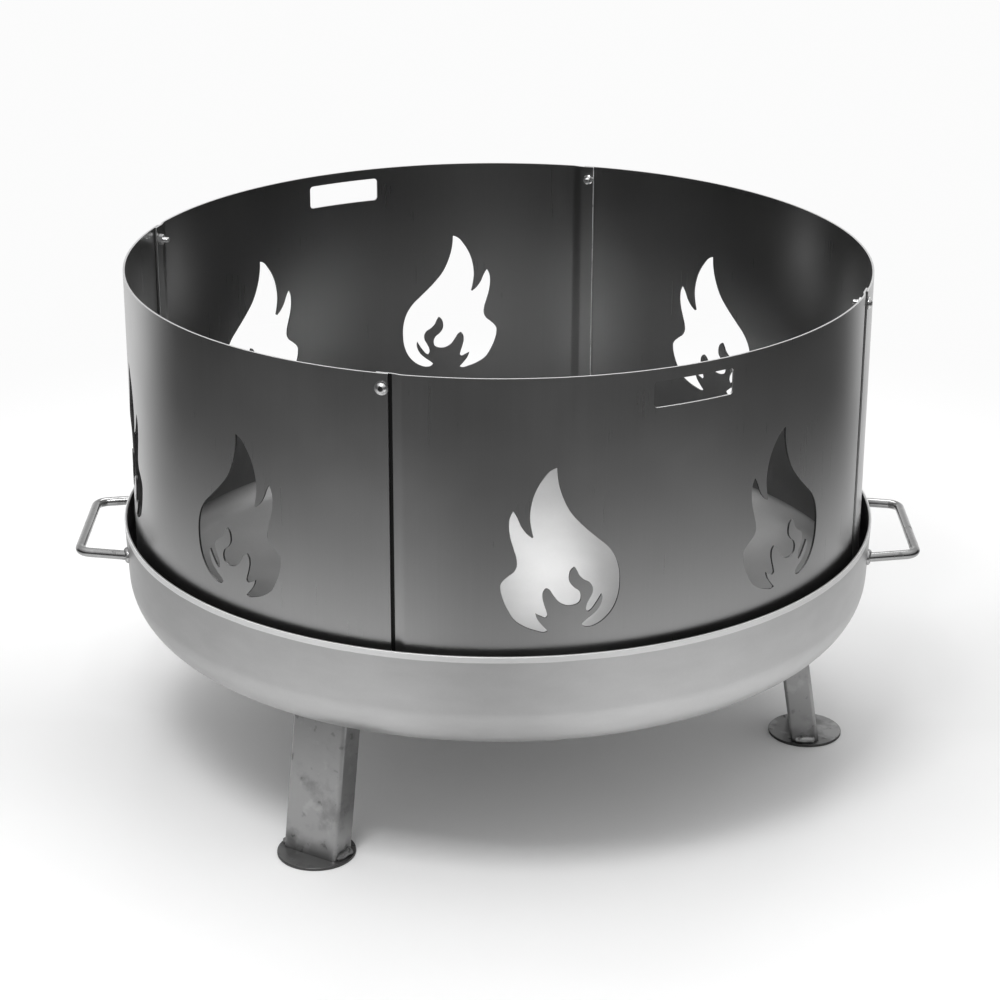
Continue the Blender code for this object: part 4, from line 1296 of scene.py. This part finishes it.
def studio_world():
    """A background whose strength is a sum of masks on the direction's height and rear share."""
    world = bpy.data.worlds.new("studio")
    world.use_nodes = True
    tree = world.node_tree
    tree.nodes.clear()
    graph = Strand(tree)
    x, y, height = graph.node("ShaderNodeTexCoord").parts()
    rear, _ = rear_share(graph, x, y)
    low, high = 1 - height.between(0.15, 0.50), height.between(0.60, 0.88)
    light = 0.05 + (1 - low) * 0.52 + high * 0.42 + rear * low * 0.80
    camera_ray = graph.node("ShaderNodeLightPath")  # its first output is Is Camera Ray
    strength = light * (1 - camera_ray) + camera_ray * BACKDROP
    shine = graph.node("ShaderNodeBackground", {"Color": (1, 1, 1, 1), "Strength": strength})
    graph.node("ShaderNodeOutputWorld", {"Surface": shine})
    bpy.context.scene.world = world
    print("world:", len(tree.nodes), "nodes")


studio_world()

# %% [markdown]
# ## Two lamps
# Two large lamps of low power finish the light. The one high behind the basket lays the soft
# shadow toward the viewer, and the one high in front lifts the legs and the bowl's wall. A
# large lamp has a soft edge in metal, where a small one would be a hard white spot.

# %% The lamps
def soft_light(name, place, target, size, power):
    """An area lamp of a size (width, height) and a power at a place, facing a target."""
    data = bpy.data.lights.new(name, "AREA")
    data.shape = "RECTANGLE"
    data.size, data.size_y, data.energy = size[0], size[1], power
    lamp = bpy.data.objects.new(name, data)
    lamp.location = place
    lamp.rotation_euler = (Vector(target) - Vector(place)).to_track_quat("-Z", "Y").to_euler()
    bpy.context.scene.collection.objects.link(lamp)
    print(f"{name} lamp: {power} W at {place}")


soft_light("ceiling", (0.15, 1.0, 2.3), (0, 0, 0.0), (1.6, 1.2), 17)
soft_light("front", (-0.5, -1.4, 2.3), (0, 0, 0.1), (0.8, 0.7), 26)

# %% [markdown]
# ## The camera
# The camera stands 2.8 m away and looks down at 16.5 degrees, through a long lens. A small
# turn about its own axes brings the basket to its place in the frame.

# %% The camera
FOCAL_PIXELS = 2642.84
DISTANCE = 2.7651
ELEVATION = 0.28797
AIM_PIXEL = (497.957, 256.823)
ROLL = 0.0027959


def camera_axes():
    """The camera's right, up and backward directions, turned so the aim point meets its pixel."""
    aim = np.array((0, 0, SCREEN_TOP))
    place = aim + DISTANCE * np.array((0, -math.cos(ELEVATION), math.sin(ELEVATION)))
    forward = (aim - place) / np.linalg.norm(aim - place)
    right = np.array((1.0, 0, 0))
    up = np.cross(right, forward)
    across, down = (AIM_PIXEL[0] - 500) / FOCAL_PIXELS, (AIM_PIXEL[1] - 500) / FOCAL_PIXELS
    pan = math.atan(across)
    tilt = math.atan(down * math.cos(pan))
    forward, right = (forward * math.cos(pan) - right * math.sin(pan),
                      right * math.cos(pan) + forward * math.sin(pan))
    forward, up = (forward * math.cos(tilt) + up * math.sin(tilt),
                   up * math.cos(tilt) - forward * math.sin(tilt))
    right, up = (right * math.cos(ROLL) + up * math.sin(ROLL),
                 up * math.cos(ROLL) - right * math.sin(ROLL))
    return place, right, up, -forward


place, right, up, back = camera_axes()
lens = bpy.data.cameras.new("camera")
lens.sensor_width = 36
lens.lens = FOCAL_PIXELS * lens.sensor_width / 1000
lens.clip_start, lens.clip_end = 0.1, 100
camera = bpy.data.objects.new("camera", lens)
camera.matrix_world = Matrix((
    (right[0], up[0], back[0], place[0]),
    (right[1], up[1], back[1], place[1]),
    (right[2], up[2], back[2], place[2]),
    (0, 0, 0, 1),
))
bpy.context.scene.collection.objects.link(camera)
bpy.context.scene.camera = camera
bpy.context.scene.view_settings.view_transform = "Standard"
print("camera at", np.round(place, 3), "lens", round(lens.lens, 2))

# %% [markdown]
# ## Faces in all
# The dressed basket must fill the same box as the imported one. The number of faces in all
# the pieces closes the lesson.

# %% Count the faces and finish
print("faces in all:", sum(len(piece.data.polygons) for piece in PIECES))
